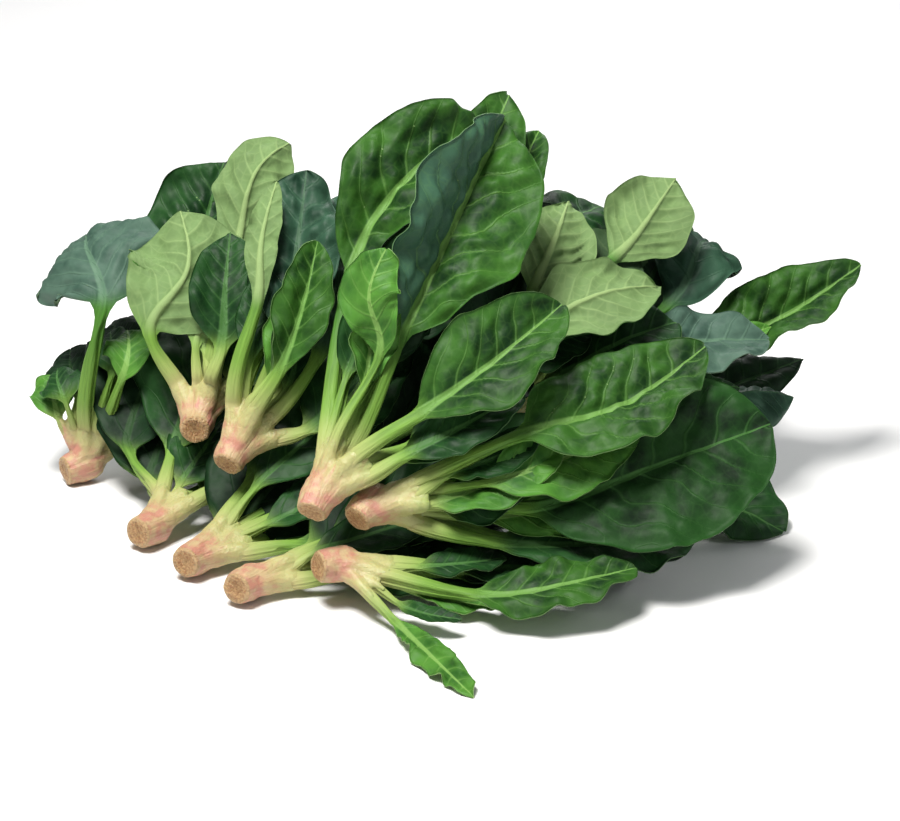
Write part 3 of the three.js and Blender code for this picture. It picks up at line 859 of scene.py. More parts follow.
@dataclass(frozen=True)
class LeafFinish:
    """A leaf's colours and gloss: one of the greens of the bunch.

    Attributes:
        name: The material's name.
        deep: The blade between its veins.
        fresh: Its lighter patches.
        vein: Midrib and side veins on the upper side.
        under: The underside.
        under_vein: Veins on the underside.
        gloss: Roughness of the upper side.
        margin: How much lighter the margins are than the middle, as a share.
        painted_shade_half: How far the half at x > 0 is painted over with shade, a dull blue green, as a
            share.
        stalk: Colours of the stalk.
    """

    name: str
    deep: Colour
    fresh: Colour
    vein: Colour
    under: Colour
    under_vein: Colour
    gloss: float = 0.54
    margin: float = 0.3
    painted_shade_half: float = 0.0
    stalk: StalkColours = StalkColours()

    # Painted shade for the half of a leaf that is folded away from the light
    SHADE_PAINT_GREEN = (0.042, 0.105, 0.068)

    def material(self) -> bpy.types.Material:
        """Lays out the leaf's shader.

        Returns:
            The material, which reads what a LeafForm notes on its points.
        """
        g = Graph(self.name)
        read = LeafReadings(g)
        leaf = g.mix(read.up, self.underside(g, read), self.upper(g, read))
        colour = g.mix(g.step(read.blade, 0.25, 0.95), self.stalk_tone(g, read), leaf)
        g.bump(self.relief(g, read), 0.7)
        dry = g.math("MULTIPLY_ADD", g.noise(read.place, 6.0), 0.16, self.gloss - 0.08)
        rough = g.math("ADD", dry, g.math("MULTIPLY", g.math("SUBTRACT", 1.0, read.up), 0.16))
        return g.set(
            Base_Color=colour,
            Roughness=rough,
            Specular_IOR_Level=0.19,
        )

    def upper(self, g: Graph, read: LeafReadings) -> bpy.types.NodeSocket:
        """The upper side's colour.

        Args:
            g: The shader's graph.
            read: What it reads off the mesh.

        Returns:
            The colour.
        """
        tone = g.mix(g.math("MULTIPLY", read.patches, 0.8), self.deep, self.fresh)
        tone = g.mix(g.math("MULTIPLY", read.mottled, 0.2), tone, self.fresh)
        tone = g.mix(g.math("MULTIPLY", read.halo, 0.3), tone, self.fresh)
        tone = g.mix(g.math("MULTIPLY", g.step(read.edge, 0.5, 1.0), self.margin), tone, self.fresh)
        # Paints shade, a dull blue green, on the half at x > 0, which is folded away from the light
        if self.painted_shade_half:
            turned = g.math("MULTIPLY", g.step(read.x, -0.5, 2.5), self.painted_shade_half)
            tone = g.mix(turned, tone, self.SHADE_PAINT_GREEN)
        lines = g.math("MAXIMUM", read.side_vein, g.math("MULTIPLY", read.net, 0.35))
        tone = g.mix(g.math("MULTIPLY", lines, 0.3), tone, self.vein)
        return g.mix(g.math("MULTIPLY", read.midrib, 0.85), tone, self.vein)

    def underside(self, g: Graph, read: LeafReadings) -> bpy.types.NodeSocket:
        """The underside's colour: duller, with its veins standing out more.

        Args:
            g: The shader's graph.
            read: What it reads off the mesh.

        Returns:
            The colour.
        """
        darker = tuple(0.74 * c for c in self.under)
        tone = g.mix(g.math("MULTIPLY", read.patches, 0.6), self.under, darker)
        lines = g.math("MAXIMUM", read.side_vein, g.math("MULTIPLY", read.net, 0.6))
        tone = g.mix(g.math("MULTIPLY", lines, 0.55), tone, self.under_vein)
        return g.mix(read.midrib, tone, self.under_vein)

    def stalk_tone(self, g: Graph, read: LeafReadings) -> bpy.types.NodeSocket:
        """The stalk's colour: cream at the crown, then green, with darker streaks along it.

        Args:
            g: The shader's graph.
            read: What it reads off the mesh.

        Returns:
            The colour.
        """
        tone = g.mix(g.step(read.d, -2.0, 10.0), self.stalk.crown, self.stalk.cream)
        tone = g.mix(g.step(read.d, 6.0, 26.0), tone, self.stalk.young)
        tone = g.mix(g.step(read.d, 22.0, 75.0), tone, self.stalk.grown)
        dark = tuple(0.6 * c for c in self.stalk.grown)
        share = g.math("MULTIPLY", g.step(read.streaks, 0.38, 0.72), g.step(read.d, -6.0, 40.0))
        return g.mix(g.math("MULTIPLY", share, 0.5), tone, dark)

    @staticmethod
    def relief(g: Graph, read: LeafReadings) -> bpy.types.NodeSocket:
        """The height of blisters, veins and the stalk's ridges.

        Args:
            g: The shader's graph.
            read: What it reads off the mesh.

        Returns:
            The height.
        """
        quilt = g.math("MULTIPLY", g.cells(read.place, 4.6, "SMOOTH_F1"), g.noise(read.place, 14.0))
        grain = g.math("MULTIPLY", g.noise(read.place, 1.6, 3.0), 0.14)
        height = g.math("SUBTRACT", grain, g.math("MULTIPLY", quilt, 1.1))
        sunk = g.math("MULTIPLY", read.side_vein, g.math("MULTIPLY", read.up, 0.3))
        height = g.math("SUBTRACT", height, sunk)
        height = g.math("MULTIPLY", height, read.blade)
        grooves = g.math("MULTIPLY", read.streaks, 1.2)
        ridges = g.math("MULTIPLY", g.math("SUBTRACT", 1.0, read.blade), grooves)
        return g.math("ADD", height, ridges)


DARK = LeafFinish(
    "leaf_dark",
    deep=(0.0035, 0.021, 0.006),
    fresh=(0.015, 0.068, 0.013),
    vein=(0.060, 0.16, 0.040),
    under=(0.085, 0.17, 0.06),
    under_vein=(0.20, 0.30, 0.11),
)
# Painted shade: a darker copy of DARK, about half as bright, for the leaves laid deep in the heap, so that
# they and the gaps between the leaves read as shade
HEAP_SHADE_PAINT = LeafFinish(
    "leaf_painted_heap_shade",
    deep=(0.0022, 0.0125, 0.0042),
    fresh=(0.0075, 0.034, 0.009),
    vein=(0.022, 0.062, 0.018),
    under=(0.03, 0.065, 0.024),
    under_vein=(0.06, 0.10, 0.04),
    gloss=0.6,
)
BLUE = LeafFinish(
    "leaf_blue_green",
    deep=(0.0075, 0.030, 0.016),
    fresh=(0.036, 0.095, 0.055),
    vein=(0.05, 0.115, 0.06),
    under=(0.09, 0.16, 0.08),
    under_vein=(0.19, 0.27, 0.13),
    gloss=0.54,
)
GREY = LeafFinish(
    "leaf_grey_green",
    deep=(0.030, 0.070, 0.050),
    fresh=(0.082, 0.150, 0.108),
    vein=(0.10, 0.19, 0.12),
    under=(0.13, 0.21, 0.12),
    under_vein=(0.22, 0.30, 0.16),
    gloss=0.58,
)
BRIGHT = LeafFinish(
    "leaf_bright",
    deep=(0.0036, 0.024, 0.0045),
    fresh=(0.034, 0.118, 0.013),
    vein=(0.15, 0.31, 0.07),
    under=(0.13, 0.24, 0.08),
    under_vein=(0.26, 0.38, 0.15),
)
# The tall folded leaf, with painted shade on its half folded away from the light
FOLDED = LeafFinish(
    "leaf_folded",
    deep=(0.0048, 0.031, 0.0052),
    fresh=(0.040, 0.135, 0.015),
    vein=(0.16, 0.33, 0.07),
    under=(0.13, 0.24, 0.08),
    under_vein=(0.26, 0.38, 0.15),
    painted_shade_half=0.85,
)
MARGINED = LeafFinish(
    "leaf_light_margin",
    deep=(0.0014, 0.0095, 0.0024),
    fresh=(0.013, 0.062, 0.009),
    vein=(0.055, 0.16, 0.035),
    under=(0.085, 0.17, 0.06),
    under_vein=(0.20, 0.30, 0.11),
    gloss=0.6,
    margin=0.75,
)
FRESH = LeafFinish(
    "leaf_fresh",
    deep=(0.020, 0.090, 0.012),
    fresh=(0.080, 0.235, 0.030),
    vein=(0.20, 0.37, 0.09),
    under=(0.18, 0.30, 0.10),
    under_vein=(0.30, 0.42, 0.16),
)
PALE = LeafFinish(
    "leaf_pale",
    deep=(0.03, 0.12, 0.02),
    fresh=(0.08, 0.24, 0.04),
    vein=(0.2, 0.4, 0.1),
    under=(0.150, 0.245, 0.088),
    under_vein=(0.25, 0.36, 0.14),
)


@dataclass(frozen=True)
class CrownFinish:
    """The finish of a root crown: pink to cream outside, tan and fibrous where it is cut."""

    name: str = "root_crown"
    pink: Colour = (0.48, 0.22, 0.155)
    flesh: Colour = (0.50, 0.37, 0.20)
    cream: Colour = (0.43, 0.41, 0.17)
    green: Colour = (0.30, 0.38, 0.115)
    cut: Colour = (0.31, 0.145, 0.055)
    core: Colour = (0.48, 0.30, 0.135)
    soil: Colour = (0.20, 0.10, 0.045)

    def material(self) -> bpy.types.Material:
        """Lays out the crown's shader.

        Returns:
            The material, which reads what a Crown notes on its points.
        """
        g = Graph(self.name)
        _, reach, out, face = g.attribute("crown")
        spot = g.attribute("spot")[0]
        grain = g.attribute("grain")[0]
        blotches = g.noise(spot, 6.0, 4.0)
        streaks = g.noise(grain, 0.16, 3.0)
        skin = g.mix(g.step(blotches, 0.38, 0.62), self.pink, self.flesh)
        far = g.math("ADD", reach, g.math("MULTIPLY", g.math("SUBTRACT", streaks, 0.5), 16.0))
        skin = g.mix(g.step(far, 7.0, 17.0), skin, self.cream)
        skin = g.mix(g.step(far, 18.0, 30.0), skin, self.green)
        skin = g.mix(g.math("MULTIPLY", g.step(streaks, 0.5, 0.75), 0.35), skin, self.pink)
        fibres = g.noise(spot, 1.1, 4.0)
        disc = g.mix(g.step(fibres, 0.35, 0.65), self.cut, self.core)
        wandering = g.math("ADD", out, g.math("MULTIPLY", blotches, 3.0))
        rings = g.math("SINE", g.math("MULTIPLY", wandering, 2.6))
        disc = g.mix(g.math("MULTIPLY", g.step(rings, 0.2, 0.9), 0.45), disc, self.core)
        disc = g.mix(g.math("MULTIPLY", g.step(out, 4.4, 6.6), 0.5), disc, self.flesh)
        tears = g.math("SUBTRACT", g.noise(spot, 2.5, 4.0), 0.5)
        ragged = g.math("ADD", face, g.math("MULTIPLY", tears, 1.2))
        colour = g.mix(g.step(ragged, 0.35, 0.6), skin, disc)
        dirt = g.step(g.noise(spot, 2.0, 5.0), 0.60, 0.74)
        colour = g.mix(g.math("MULTIPLY", dirt, g.math("MULTIPLY_ADD", face, 0.3, 0.2)), colour, self.soil)
        rough = g.math("MULTIPLY", g.noise(spot, 1.2, 4.0), g.math("MULTIPLY_ADD", face, 1.6, 0.5))
        g.bump(g.math("ADD", rough, g.math("MULTIPLY", streaks, 0.9)), 0.8)
        return g.set(
            Base_Color=colour,
            Roughness=g.math("MULTIPLY_ADD", blotches, 0.25, 0.36),
            Subsurface_Weight=0.2,
            Subsurface_Radius=(0.003, 0.0016, 0.0009),
            Subsurface_Scale=1.0,
        )


@dataclass
class Crown:
    """A root crown: a short cut root that opens at once into the clasping bases of its stalks.

    Attributes:
        plant: The plant's name.
        outer: The leaves whose solids grow from it.
        leaves: All of its leaves.
        finish: Its material.
        seed: What sets its lumps apart from other crowns'.
    """

    plant: str
    outer: list[LeafForm]
    leaves: list[LeafForm]
    finish: bpy.types.Material
    seed: int

    CUT = 10.5  # from its middle to its cut face
    CUT_RADIUS = 7.25
    # How far along the root each ring of the core lies, and its radius
    CORE = (
        (10.5, 6.1), (10.3, 6.9), (9.2, 7.5), (6.0, 8.0),
        (2.0, 8.4), (-4.0, 8.4), (-8.0, 6.8), (-11.0, 4.0),
    )
    SIDES = 22
    VOXEL = 0.85

    def measure(self) -> None:
        """Finds the crown's middle and the way its root points, from its solid and its leaves."""
        roots = np.array([leaf.root for leaf in self.outer])
        ways = np.array([leaf.way for leaf in self.outer])
        solid = np.array([v.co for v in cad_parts[f"{self.plant}_crown"].data.vertices]) / MM
        self.middle = np.mean(roots - ways * STUB_REACH, axis=0)
        away = solid - self.middle
        rim = math.hypot(self.CUT, self.CUT_RADIUS)
        ends = away[np.abs(np.linalg.norm(away, axis=1) - rim) < 0.3]
        behind = ends[ends @ ways.mean(axis=0) < 0]
        centre = behind.mean(axis=0)
        across = np.linalg.svd(behind - centre)[2][2]
        self.root = across * np.sign(across @ centre)

    def tube(
        self, path: np.ndarray, radii: list[float], wide: np.ndarray, flat: float
    ) -> tuple[np.ndarray, list]:
        """A closed body round a line.

        Args:
            path: The line's points.
            radii: Its radius at each of them.
            wide: The way it is widest.
            flat: How much narrower it is the other way, as a share.

        Returns:
            Its points and faces.
        """
        way = unit(np.gradient(path, axis=0))
        e1 = unit(wide - np.sum(way * wide, axis=1, keepdims=True) * way)
        e2 = np.cross(way, e1) * flat
        turn = np.linspace(0, 2 * math.pi, self.SIDES, endpoint=False)[None, :, None]
        ring = np.cos(turn) * e1[:, None] + np.sin(turn) * e2[:, None]
        points = path[:, None] + ring * np.array(radii)[:, None, None]
        sides, last = self.SIDES, (len(radii) - 1) * self.SIDES
        faces = [
            (r + k, r + (k + 1) % sides, r + sides + (k + 1) % sides, r + sides + k)
            for r in range(0, last, sides)
            for k in range(sides)
        ]
        caps = [tuple(range(sides))[::-1], tuple(range(last, last + sides))]
        return points.reshape(-1, 3), faces + caps

    def sheath(self, leaf: LeafForm) -> tuple[np.ndarray, list]:
        """The clasping base of a stalk, from beside the cut face out to where the stalk starts.

        Args:
            leaf: The stalk's leaf.

        Returns:
            Its points and faces.
        """
        far = float(np.linalg.norm(leaf.root - self.middle))
        way = unit(leaf.root - self.middle)
        outward = way - (way @ self.root) * self.root
        wide = unit(np.cross(self.root, way))
        r = float(leaf.radius[0])
        path = np.array([
            self.root * 8.6 + outward * 2.2,
            self.root * 3.0 + outward * 4.4,
            way * 7.0 + outward * 1.8,
            way * 12.5,
            way * far,
            way * (far + 5.0),
            way * (far + 9.0),
        ])
        radii = [1.05 * r, 1.4 * r, 1.45 * r, 1.32 * r, 1.1 * r, 0.93 * r, 0.5 * r]
        return self.tube(self.middle + path, radii, wide, 0.88)

    def build(self) -> bpy.types.Object:
        """Makes the crown.

        Returns:
            The crown as one closed piece.
        """
        self.measure()
        spine = self.middle + self.root * np.array([[a] for a, _ in self.CORE])
        helper = np.array([0.0, 0.0, 1.0]) if abs(self.root[2]) < 0.9 else np.array([1.0, 0.0, 0.0])
        shapes = [self.tube(spine, [r for _, r in self.CORE], helper, 1.0)]
        shapes += [self.sheath(leaf) for leaf in self.leaves]
        points, faces = [], []
        for p, f in shapes:
            offset = sum(len(q) for q in points)
            points.append(p)
            faces += [tuple(k + offset for k in face) for face in f]
        mesh = bpy.data.meshes.new(f"{self.plant}_root_crown")
        mesh.from_pydata((np.concatenate(points) * MM).tolist(), [], faces)
        made = bpy.data.objects.new(mesh.name, mesh)
        bpy.context.scene.collection.objects.link(made)
        remesh = made.modifiers.new("one_body", "REMESH")
        remesh.mode = "VOXEL"
        remesh.voxel_size = self.VOXEL * MM
        soften = made.modifiers.new("soften", "SMOOTH")
        soften.iterations = 2
        soften.factor = 0.5
        evaluated = made.evaluated_get(bpy.context.evaluated_depsgraph_get())
        whole = bpy.data.meshes.new_from_object(evaluated)
        made.modifiers.clear()
        made.data = whole
        whole.name = mesh.name
        self.shape_skin(whole)
        whole.materials.append(self.finish)
        return made

    def shape_skin(self, mesh: bpy.types.Mesh) -> None:
        """Gives the skin its lumps and ridges and notes what the finish reads.

        Args:
            mesh: The crown's mesh.
        """
        co = np.zeros(len(mesh.vertices) * 3, np.float32)
        mesh.vertices.foreach_get("co", co)
        points = co.reshape(-1, 3).astype(float) / MM
        normals = np.array([v.normal for v in mesh.vertices])
        away = points - self.middle
        reach = np.linalg.norm(away, axis=1)
        down = away @ self.root
        beside = away - down[:, None] * self.root
        out = np.linalg.norm(beside, axis=1)
        noise = Noise(self.seed)
        x, y, z = points.T
        lumps = noise(x / 5 + z / 7, y / 5) + 0.5 * noise(z / 2.6, x / 2.6 + 9)
        face = smooth(self.CUT - 1.6, self.CUT - 0.7, down) * smooth(7.8, 6.6, out)
        points += normals * (0.35 * lumps * (1 + 0.6 * face))[:, None]
        points -= self.root * (0.7 * face * smooth(5.5, 1.0, out))[:, None]
        points[:, 2] = np.maximum(points[:, 2], 0.02)
        mesh.vertices.foreach_set("co", (points * MM).astype(np.float32).ravel())
        turned = unit(beside)
        notes = {
            "crown": np.stack([reach - 12 * smooth(0, 8, down), out, face], axis=1),
            "spot": away + 40.0 * self.seed,
            "grain": turned + (0.02 * reach)[:, None] * self.root,
        }
        for key, values in notes.items():
            layer = mesh.attributes.new(key, "FLOAT_VECTOR", "POINT")
            layer.data.foreach_set("vector", values.astype(np.float32).ravel())
        mesh.update()
        mesh.shade_smooth()


@dataclass(frozen=True)
class Stray:
    """A leaf deep in the heap, darkened with painted shade, told by a large leaf that it is like.

    Attributes:
        like: The large leaf.
        away: How far its blade lies from that one's.
        long: Its length, as a share of that one's.
        wide: Its width, likewise.
    """

    like: str
    away: tuple[float, float, float]
    long: float = 1.0
    wide: float = 1.0


@dataclass
class Heart:
    """The further leaves of a plant: small ones at its heart and ones deep in the heap, darkened with
    painted shade.

    Attributes:
        plant: The plant's name.
        outer: The sections of its large leaves, by name.
    """

    plant: str
    outer: dict[str, np.ndarray]

    SMALL_LEAVES = 4
    DEEP_LEAVES = 2
    OPEN_BELOW = ("front_pink",)  # plants whose second deep leaf would lie in the open
    TRIES = 24
    STRAYS = (
        Stray("far_left_leaf_1", (16.0, -6.0, -22.0)),
        Stray("far_left_leaf_1", (4.0, 0.0, -6.0), 0.6, 1.1),
        Stray("left_low_leaf_1", (-24.0, 6.0, -10.0)),
        Stray("left_low_leaf_1", (-8.0, 4.0, -10.0), 0.6, 1.1),
        Stray("left_low_leaf_2", (0.0, 6.0, -10.0), 0.6, 1.2),
        Stray("front_corner_leaf_2", (0.0, 4.0, -8.0), 0.6, 1.2),
        Stray("front_corner_leaf_3", (0.0, 0.0, -14.0), 0.55, 1.1),
        Stray("front_low_leaf_2", (0.0, 4.0, -8.0), 0.6, 1.2),
        Stray("tall_leaf_1", (22.0, 22.0, -50.0)),
        Stray("tall_leaf_2", (-18.0, 42.0, -80.0)),
        Stray("tall_leaf_2", (20.0, 45.0, -60.0)),
        Stray("middle_leaf_1", (-18.0, 6.0, -14.0)),
        Stray("middle_leaf_2", (4.0, 26.0, -24.0)),
        Stray("middle_leaf_3", (28.0, 10.0, -12.0)),
        Stray("middle_leaf_5", (-20.0, 30.0, -40.0)),
    )

    def __post_init__(self) -> None:
        """Seeds the plant's chances and pairs its leaves, the closest pair first."""
        self.chance = np.random.default_rng(sum(ord(c) for c in self.plant))
        given = list(self.outer.values())
        ways = [unit(g[6].mean(axis=(0, 1)) - g[0].mean(axis=(0, 1))) for g in given]
        pairs = [(i, j) for i in range(len(given)) for j in range(i + 1, len(given))]
        pairs.sort(key=lambda p: -float(ways[p[0]] @ ways[p[1]]))
        self.pairs = [(given[i], given[j]) for i, j in pairs]

    @staticmethod
    def remade(given: np.ndarray, long: float, slim: np.ndarray, away: np.ndarray) -> np.ndarray:
        """A leaf like another, from the same spot on the crown.

        Args:
            given: The other's sections.
            long: Its length, as a share.
            slim: Its width at each section, as a share.
            away: How far its blade lies from the other's.

        Returns:
            Its sections.
        """
        middle = given[:, :, 2].mean(axis=1)
        moved = middle[0] + (middle - middle[0]) * long
        moved = moved + smooth(0.0, 5.0, np.arange(ROWS))[:, None] * away
        low = moved[:, 2].min()
        if low < 3.0:
            moved[:, 2] += smooth(0.0, 4.0, np.arange(ROWS)) * (3.0 - low)
        across = (given - middle[:, None, None]) * slim[:, None, None, None]
        return moved[:, None, None] + across

    def between(self, pair: tuple[np.ndarray, np.ndarray]) -> np.ndarray:
        """Lays a leaf somewhere between two.

        Args:
            pair: The sections of the two.

        Returns:
            Its sections.
        """
        one, other = pair
        across = [p[STALK_ROWS:, 0, -1] - p[STALK_ROWS:, 0, 0] for p in pair]
        if np.sum(across[0] * across[1]) < 0:
            other = other[:, ::-1, ::-1]  # they lie with opposite sides up
        share = self.chance.uniform(0.3, 0.7)
        return (1 - share) * one + share * other

    def small(self) -> list[list[np.ndarray]]:
        """Places for the heart's leaves, each between two large ones.

        Returns:
            For each leaf, the sections of the ways in which it could lie.
        """
        slim = np.linspace(0.72, 0.5, ROWS)
        return [
            [
                self.remade(
                    self.between(pair),
                    self.chance.uniform(0.5, 0.8),
                    slim,
                    self.chance.normal(0, 3, 3),
                )
                for _ in range(self.TRIES)
            ]
            for pair in self.pairs[: self.SMALL_LEAVES]
        ]

    def deep(self) -> list[list[np.ndarray]]:
        """Places for the leaves deep in the heap.

        Returns:
            For each leaf, the sections of the ways in which it could lie.
        """
        whole = np.linspace(0.85, 1.0, ROWS)
        found = [
            [
                self.remade(self.between(pair), 0.92, whole, -STACK * self.chance.uniform(6, 26))
                for _ in range(self.TRIES)
            ]
            for pair in self.pairs[: self.DEEP_LEAVES - (self.plant in self.OPEN_BELOW)]
        ]
        for stray in self.STRAYS:
            if stray.like in self.outer:
                aways = np.array(stray.away) + self.chance.normal(0, 4, (self.TRIES, 3))
                like = self.outer[stray.like]
                found.append([self.remade(like, stray.long, stray.wide * whole, away) for away in aways])
        return found


class Bunch:
    """The whole bunch: every plant's crown and leaves."""

    BURIED = (
        "right_leaf_1", "back_leaf_1", "back_leaf_2", "middle_leaf_4", "far_left_leaf_1",
        "left_low_leaf_1", "left_low_leaf_2", "front_corner_leaf_1", "front_corner_leaf_2",
        "front_corner_leaf_3", "front_low_leaf_1", "front_low_leaf_2", "left_tall_leaf_1",
        "front_pink_leaf_2", "front_right_leaf_1",
    )
    GREENS = {
        BLUE: ("left_tall_leaf_2", "left_tall_leaf_3", "middle_leaf_1", "right_leaf_3"),
        GREY: ("far_left_leaf_4", "right_leaf_5"),
        BRIGHT: ("tall_leaf_1", "tall_leaf_5", "right_leaf_4", "left_tall_leaf_5", "front_right_leaf_4",
                 "front_pink_leaf_3", "back_leaf_4", "back_leaf_5"),
        FOLDED: ("tall_leaf_2",),
        MARGINED: ("front_right_leaf_2",),
        FRESH: ("front_pink_leaf_1", "far_left_leaf_2", "far_left_leaf_3", "tall_leaf_3",
                "front_right_leaf_3"),
        PALE: ("middle_leaf_2", "middle_leaf_3", "middle_leaf_5", "left_top_leaf_3", "left_top_leaf_4",
               "left_tall_leaf_4"),
    }
    CURLY = ("far_left_leaf_2", "far_left_leaf_3", "front_pink_leaf_1", "front_pink_leaf_3", "tall_leaf_3")
    PUCKERED = (
        "left_tall_leaf_2", "left_tall_leaf_3", "left_top_leaf_2", "tall_leaf_1", "tall_leaf_2",
        "front_right_leaf_3", "front_right_leaf_4", "right_leaf_4", "middle_leaf_3",
    )
    EVEN = {"left_top_leaf_4": 2.6, "far_left_leaf_4": 1.3}

    def __init__(self) -> None:
        """Makes the finishes and lists the plants with their leaves."""
        self.looks = {node: look for look, nodes in self.GREENS.items() for node in nodes}
        self.materials = {look: look.material() for look in (DARK, HEAP_SHADE_PAINT, *self.GREENS)}
        self.crown_material = CrownFinish().material()
        names = [name.removesuffix("_crown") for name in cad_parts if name.endswith("_crown")]
        self.plants = {
            plant: sorted(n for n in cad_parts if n.startswith(plant + "_leaf_")) for plant in names
        }

    def build(self) -> None:
        """Builds every crown and leaf and lets them ride on the frame."""
        reader = SolidReader()
        sections = {
            plant: {node: reader.sections(node) for node in nodes} for plant, nodes in self.plants.items()
        }
        numbered = [(20 * k, plant, outer) for k, (plant, outer) in enumerate(sections.items())]
        large = {plant: self.large(outer, seed) for seed, plant, outer in numbered}
        layers = Layers([form for forms in large.values() for form in forms])
        further = {plant: self.further(Heart(plant, outer), layers, seed) for seed, plant, outer in numbered}
        forms = [form for plant in self.plants for form in large[plant] + further[plant]]
        heap = Heap(forms)
        for number, form in enumerate(forms):
            form.wave(*heap.room(number, form))
            self.leaf(form)
        for number, plant in enumerate(self.plants):
            leaves = large[plant] + further[plant]
            piece = Crown(plant, large[plant], leaves, self.crown_material, 300 + number).build()
            self.place(piece, "crown", f"{plant}_crown")

    def large(self, outer: dict[str, np.ndarray], seed: int) -> list[LeafForm]:
        """Lays out the large leaves of a plant.

        Args:
            outer: Their sections, by name.
            seed: The first of their seeds.

        Returns:
            The leaves.
        """
        forms = []
        for number, (name, sections) in enumerate(outer.items()):
            detail = Detail.BURIED if name in self.BURIED else Detail.SHOWN
            curl = 1.8 if name in self.CURLY else 1.0
            pucker = 1.9 if name in self.PUCKERED else 1.0
            even = self.EVEN.get(name, LeafForm.even)
            form = LeafForm(name, detail, 100 + seed + number, curl, pucker, even)
            form.lay(sections)
            forms.append(form)
        return forms

    @staticmethod
    def further(heart: Heart, layers: Layers, seed: int) -> list[LeafForm]:
        """Lays out the further leaves of a plant, each where it cuts through the others least.

        Args:
            heart: The places where they could lie.
            layers: The leaves laid so far.
            seed: The first of their seeds.

        Returns:
            The leaves.
        """
        wanted = [(f"{heart.plant}_inner_{k + 1}", tries) for k, tries in enumerate(heart.small())]
        wanted += [(f"{heart.plant}_deep_{k + 1}", tries) for k, tries in enumerate(heart.deep())]
        forms = []
        for number, (name, tries) in enumerate(wanted):
            tried = []
            for sections in tries:
                form = LeafForm(name, Detail.SMALL, 110 + seed + number)
                form.lay(sections)
                tried.append(form)
            forms.append(layers.choose(tried))
        return forms

    def leaf(self, form: LeafForm) -> None:
        """Builds one leaf.

        Args:
            form: Its form.
        """
        upper, under = form.skin()
        points, faces = MeshMaker.closed_sheet(upper, under)
        points[:, 2] = np.maximum(points[:, 2], 0.02)
        seed = np.full_like(form.x, form.seed * 7.0)
        rib = np.abs(form.x) / form.radius[:, None]
        gap = np.full_like(form.x, form.vein_gap)
        blade = np.repeat(form.blade[:, None], form.x.shape[1], axis=1)
        up = np.concatenate([np.ones(form.x.size), np.zeros(form.x.size)])
        notes = {
            "place": np.tile(np.stack([form.x, form.d, seed], axis=-1).reshape(-1, 3), (2, 1)),
            "veins": np.tile(np.stack([form.vein, gap, rib], axis=-1).reshape(-1, 3), (2, 1)),
            "zone": np.stack([up, np.tile(blade.ravel(), 2), np.tile(form.edge.ravel(), 2)], axis=1),
        }
        piece = MeshMaker.build(form.node.replace("leaf", "fine_leaf"), points, faces, notes)
        usual = DARK
        # Leaves deep in the heap get painted shade
        if "_deep_" in form.node:
            usual = HEAP_SHADE_PAINT
        elif "_inner_" in form.node and form.seed % 3 == 0:
            usual = FRESH
        look = self.looks.get(form.node, usual)
        piece.data.materials.append(self.materials[look])
        stands_for = [form.node] if form.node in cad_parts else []
        self.place(piece, "pale_leaf" if look is PALE else "leaf", *stands_for)

    @staticmethod
    def place(piece: bpy.types.Object, slot: str, *nodes: str) -> None:
        """Lets a piece ride on the frame, in place of its solid where it has one.

        Args:
            piece: The piece.
            slot: What it is made of, as the frame names it. Not used.
            *nodes: The solid that it stands for.
        """
        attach(piece, "root")
        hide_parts(*nodes)
        LOG.info("%s: %s", piece.name, "in place of " + nodes[0] if nodes else "added")


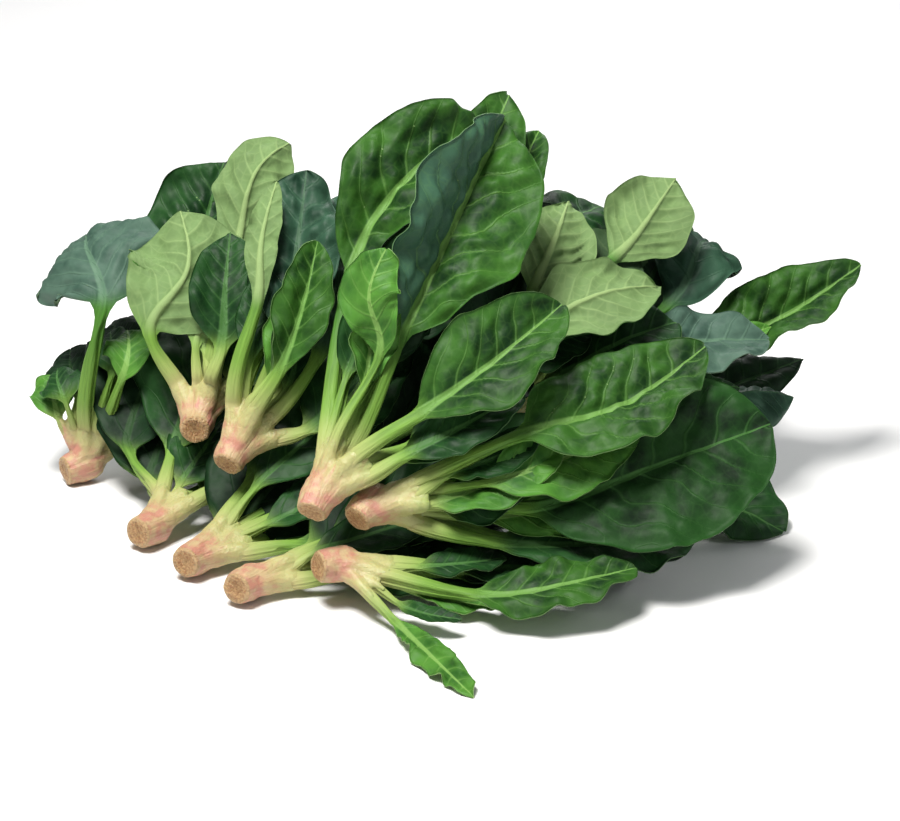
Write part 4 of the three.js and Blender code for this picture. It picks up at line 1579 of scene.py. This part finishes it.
@dataclass(frozen=True)
class Studio:
    """Floor, lights and camera.

    Attributes:
        target: What the camera looks at, in metres.
        distance: How far off it stands.
        elevation: How far it looks down, in degrees.
        lens: Its focal length in millimetres.
    """

    target: tuple[float, float, float] = (0.0014, 0.0348, 0.047)
    distance: float = 1.5
    elevation: float = 22.0
    lens: float = 123.0

    def build(self) -> None:
        """Sets up everything round the bunch."""
        self.floor()
        self.light("key", (-0.3, -0.4, 1.3), 0.45, 31.0, (1.0, 0.98, 0.95))
        self.light("fill", (1.0, -0.7, 0.7), 1.2, 2.6, (0.95, 0.98, 1.0))
        self.light("rim", (0.1, 1.2, 0.9), 0.8, 9.5, (1.0, 1.0, 1.0))
        world = bpy.data.worlds.new("studio")
        world.use_nodes = True
        world.node_tree.nodes["Background"].inputs["Color"].default_value = (0.92, 0.95, 1.0, 1)
        world.node_tree.nodes["Background"].inputs["Strength"].default_value = 0.13
        bpy.context.scene.world = world
        bpy.context.scene.view_settings.view_transform = "Standard"
        self.camera()

    @staticmethod
    def floor() -> None:
        """A wide pale floor."""
        reach = 4.0
        corners = [(x * reach, y * reach, 0) for x, y in ((-1, -1), (1, -1), (1, 1), (-1, 1))]
        mesh = bpy.data.meshes.new("floor")
        mesh.from_pydata(corners, [], [(0, 1, 2, 3)])
        mesh.materials.append(Graph("pale_floor").set(Base_Color=(0.88, 0.88, 0.88), Roughness=0.6))
        floor = bpy.data.objects.new("floor", mesh)
        bpy.context.scene.collection.objects.link(floor)

    @staticmethod
    def light(
        name: str, place: tuple[float, float, float], size: float, power: float, colour: Colour
    ) -> None:
        """Hangs up a soft square light that points at the bunch.

        Args:
            name: Its name.
            place: Where it hangs, in metres.
            size: The length of its sides.
            power: How strong it is, in watts.
            colour: Its colour.
        """
        data = bpy.data.lights.new(name, "AREA")
        data.size = size
        data.energy = power
        data.color = colour
        lamp = bpy.data.objects.new(name, data)
        lamp.location = place
        lamp.rotation_euler = (Vector((0, 0, 0.08)) - Vector(place)).to_track_quat("-Z", "Y").to_euler()
        bpy.context.scene.collection.objects.link(lamp)

    def camera(self) -> None:
        """The camera, level with the horizon line of the view and looking along +Y."""
        data = bpy.data.cameras.new("camera")
        data.lens = self.lens
        data.sensor_width = 36.0
        lean = math.radians(self.elevation)
        back = Vector((0, -math.cos(lean), math.sin(lean)))
        camera = bpy.data.objects.new("camera", data)
        camera.location = Vector(self.target) + back * self.distance
        camera.rotation_euler = (-back).to_track_quat("-Z", "Y").to_euler()
        bpy.context.scene.collection.objects.link(camera)
        bpy.context.scene.camera = camera


def main() -> None:
    """Builds the bunch and the studio."""
    logging.basicConfig(level=logging.INFO, format="%(message)s")
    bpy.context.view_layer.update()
    Bunch().build()
    Studio().build()


if __name__ == "__main__":
    main()
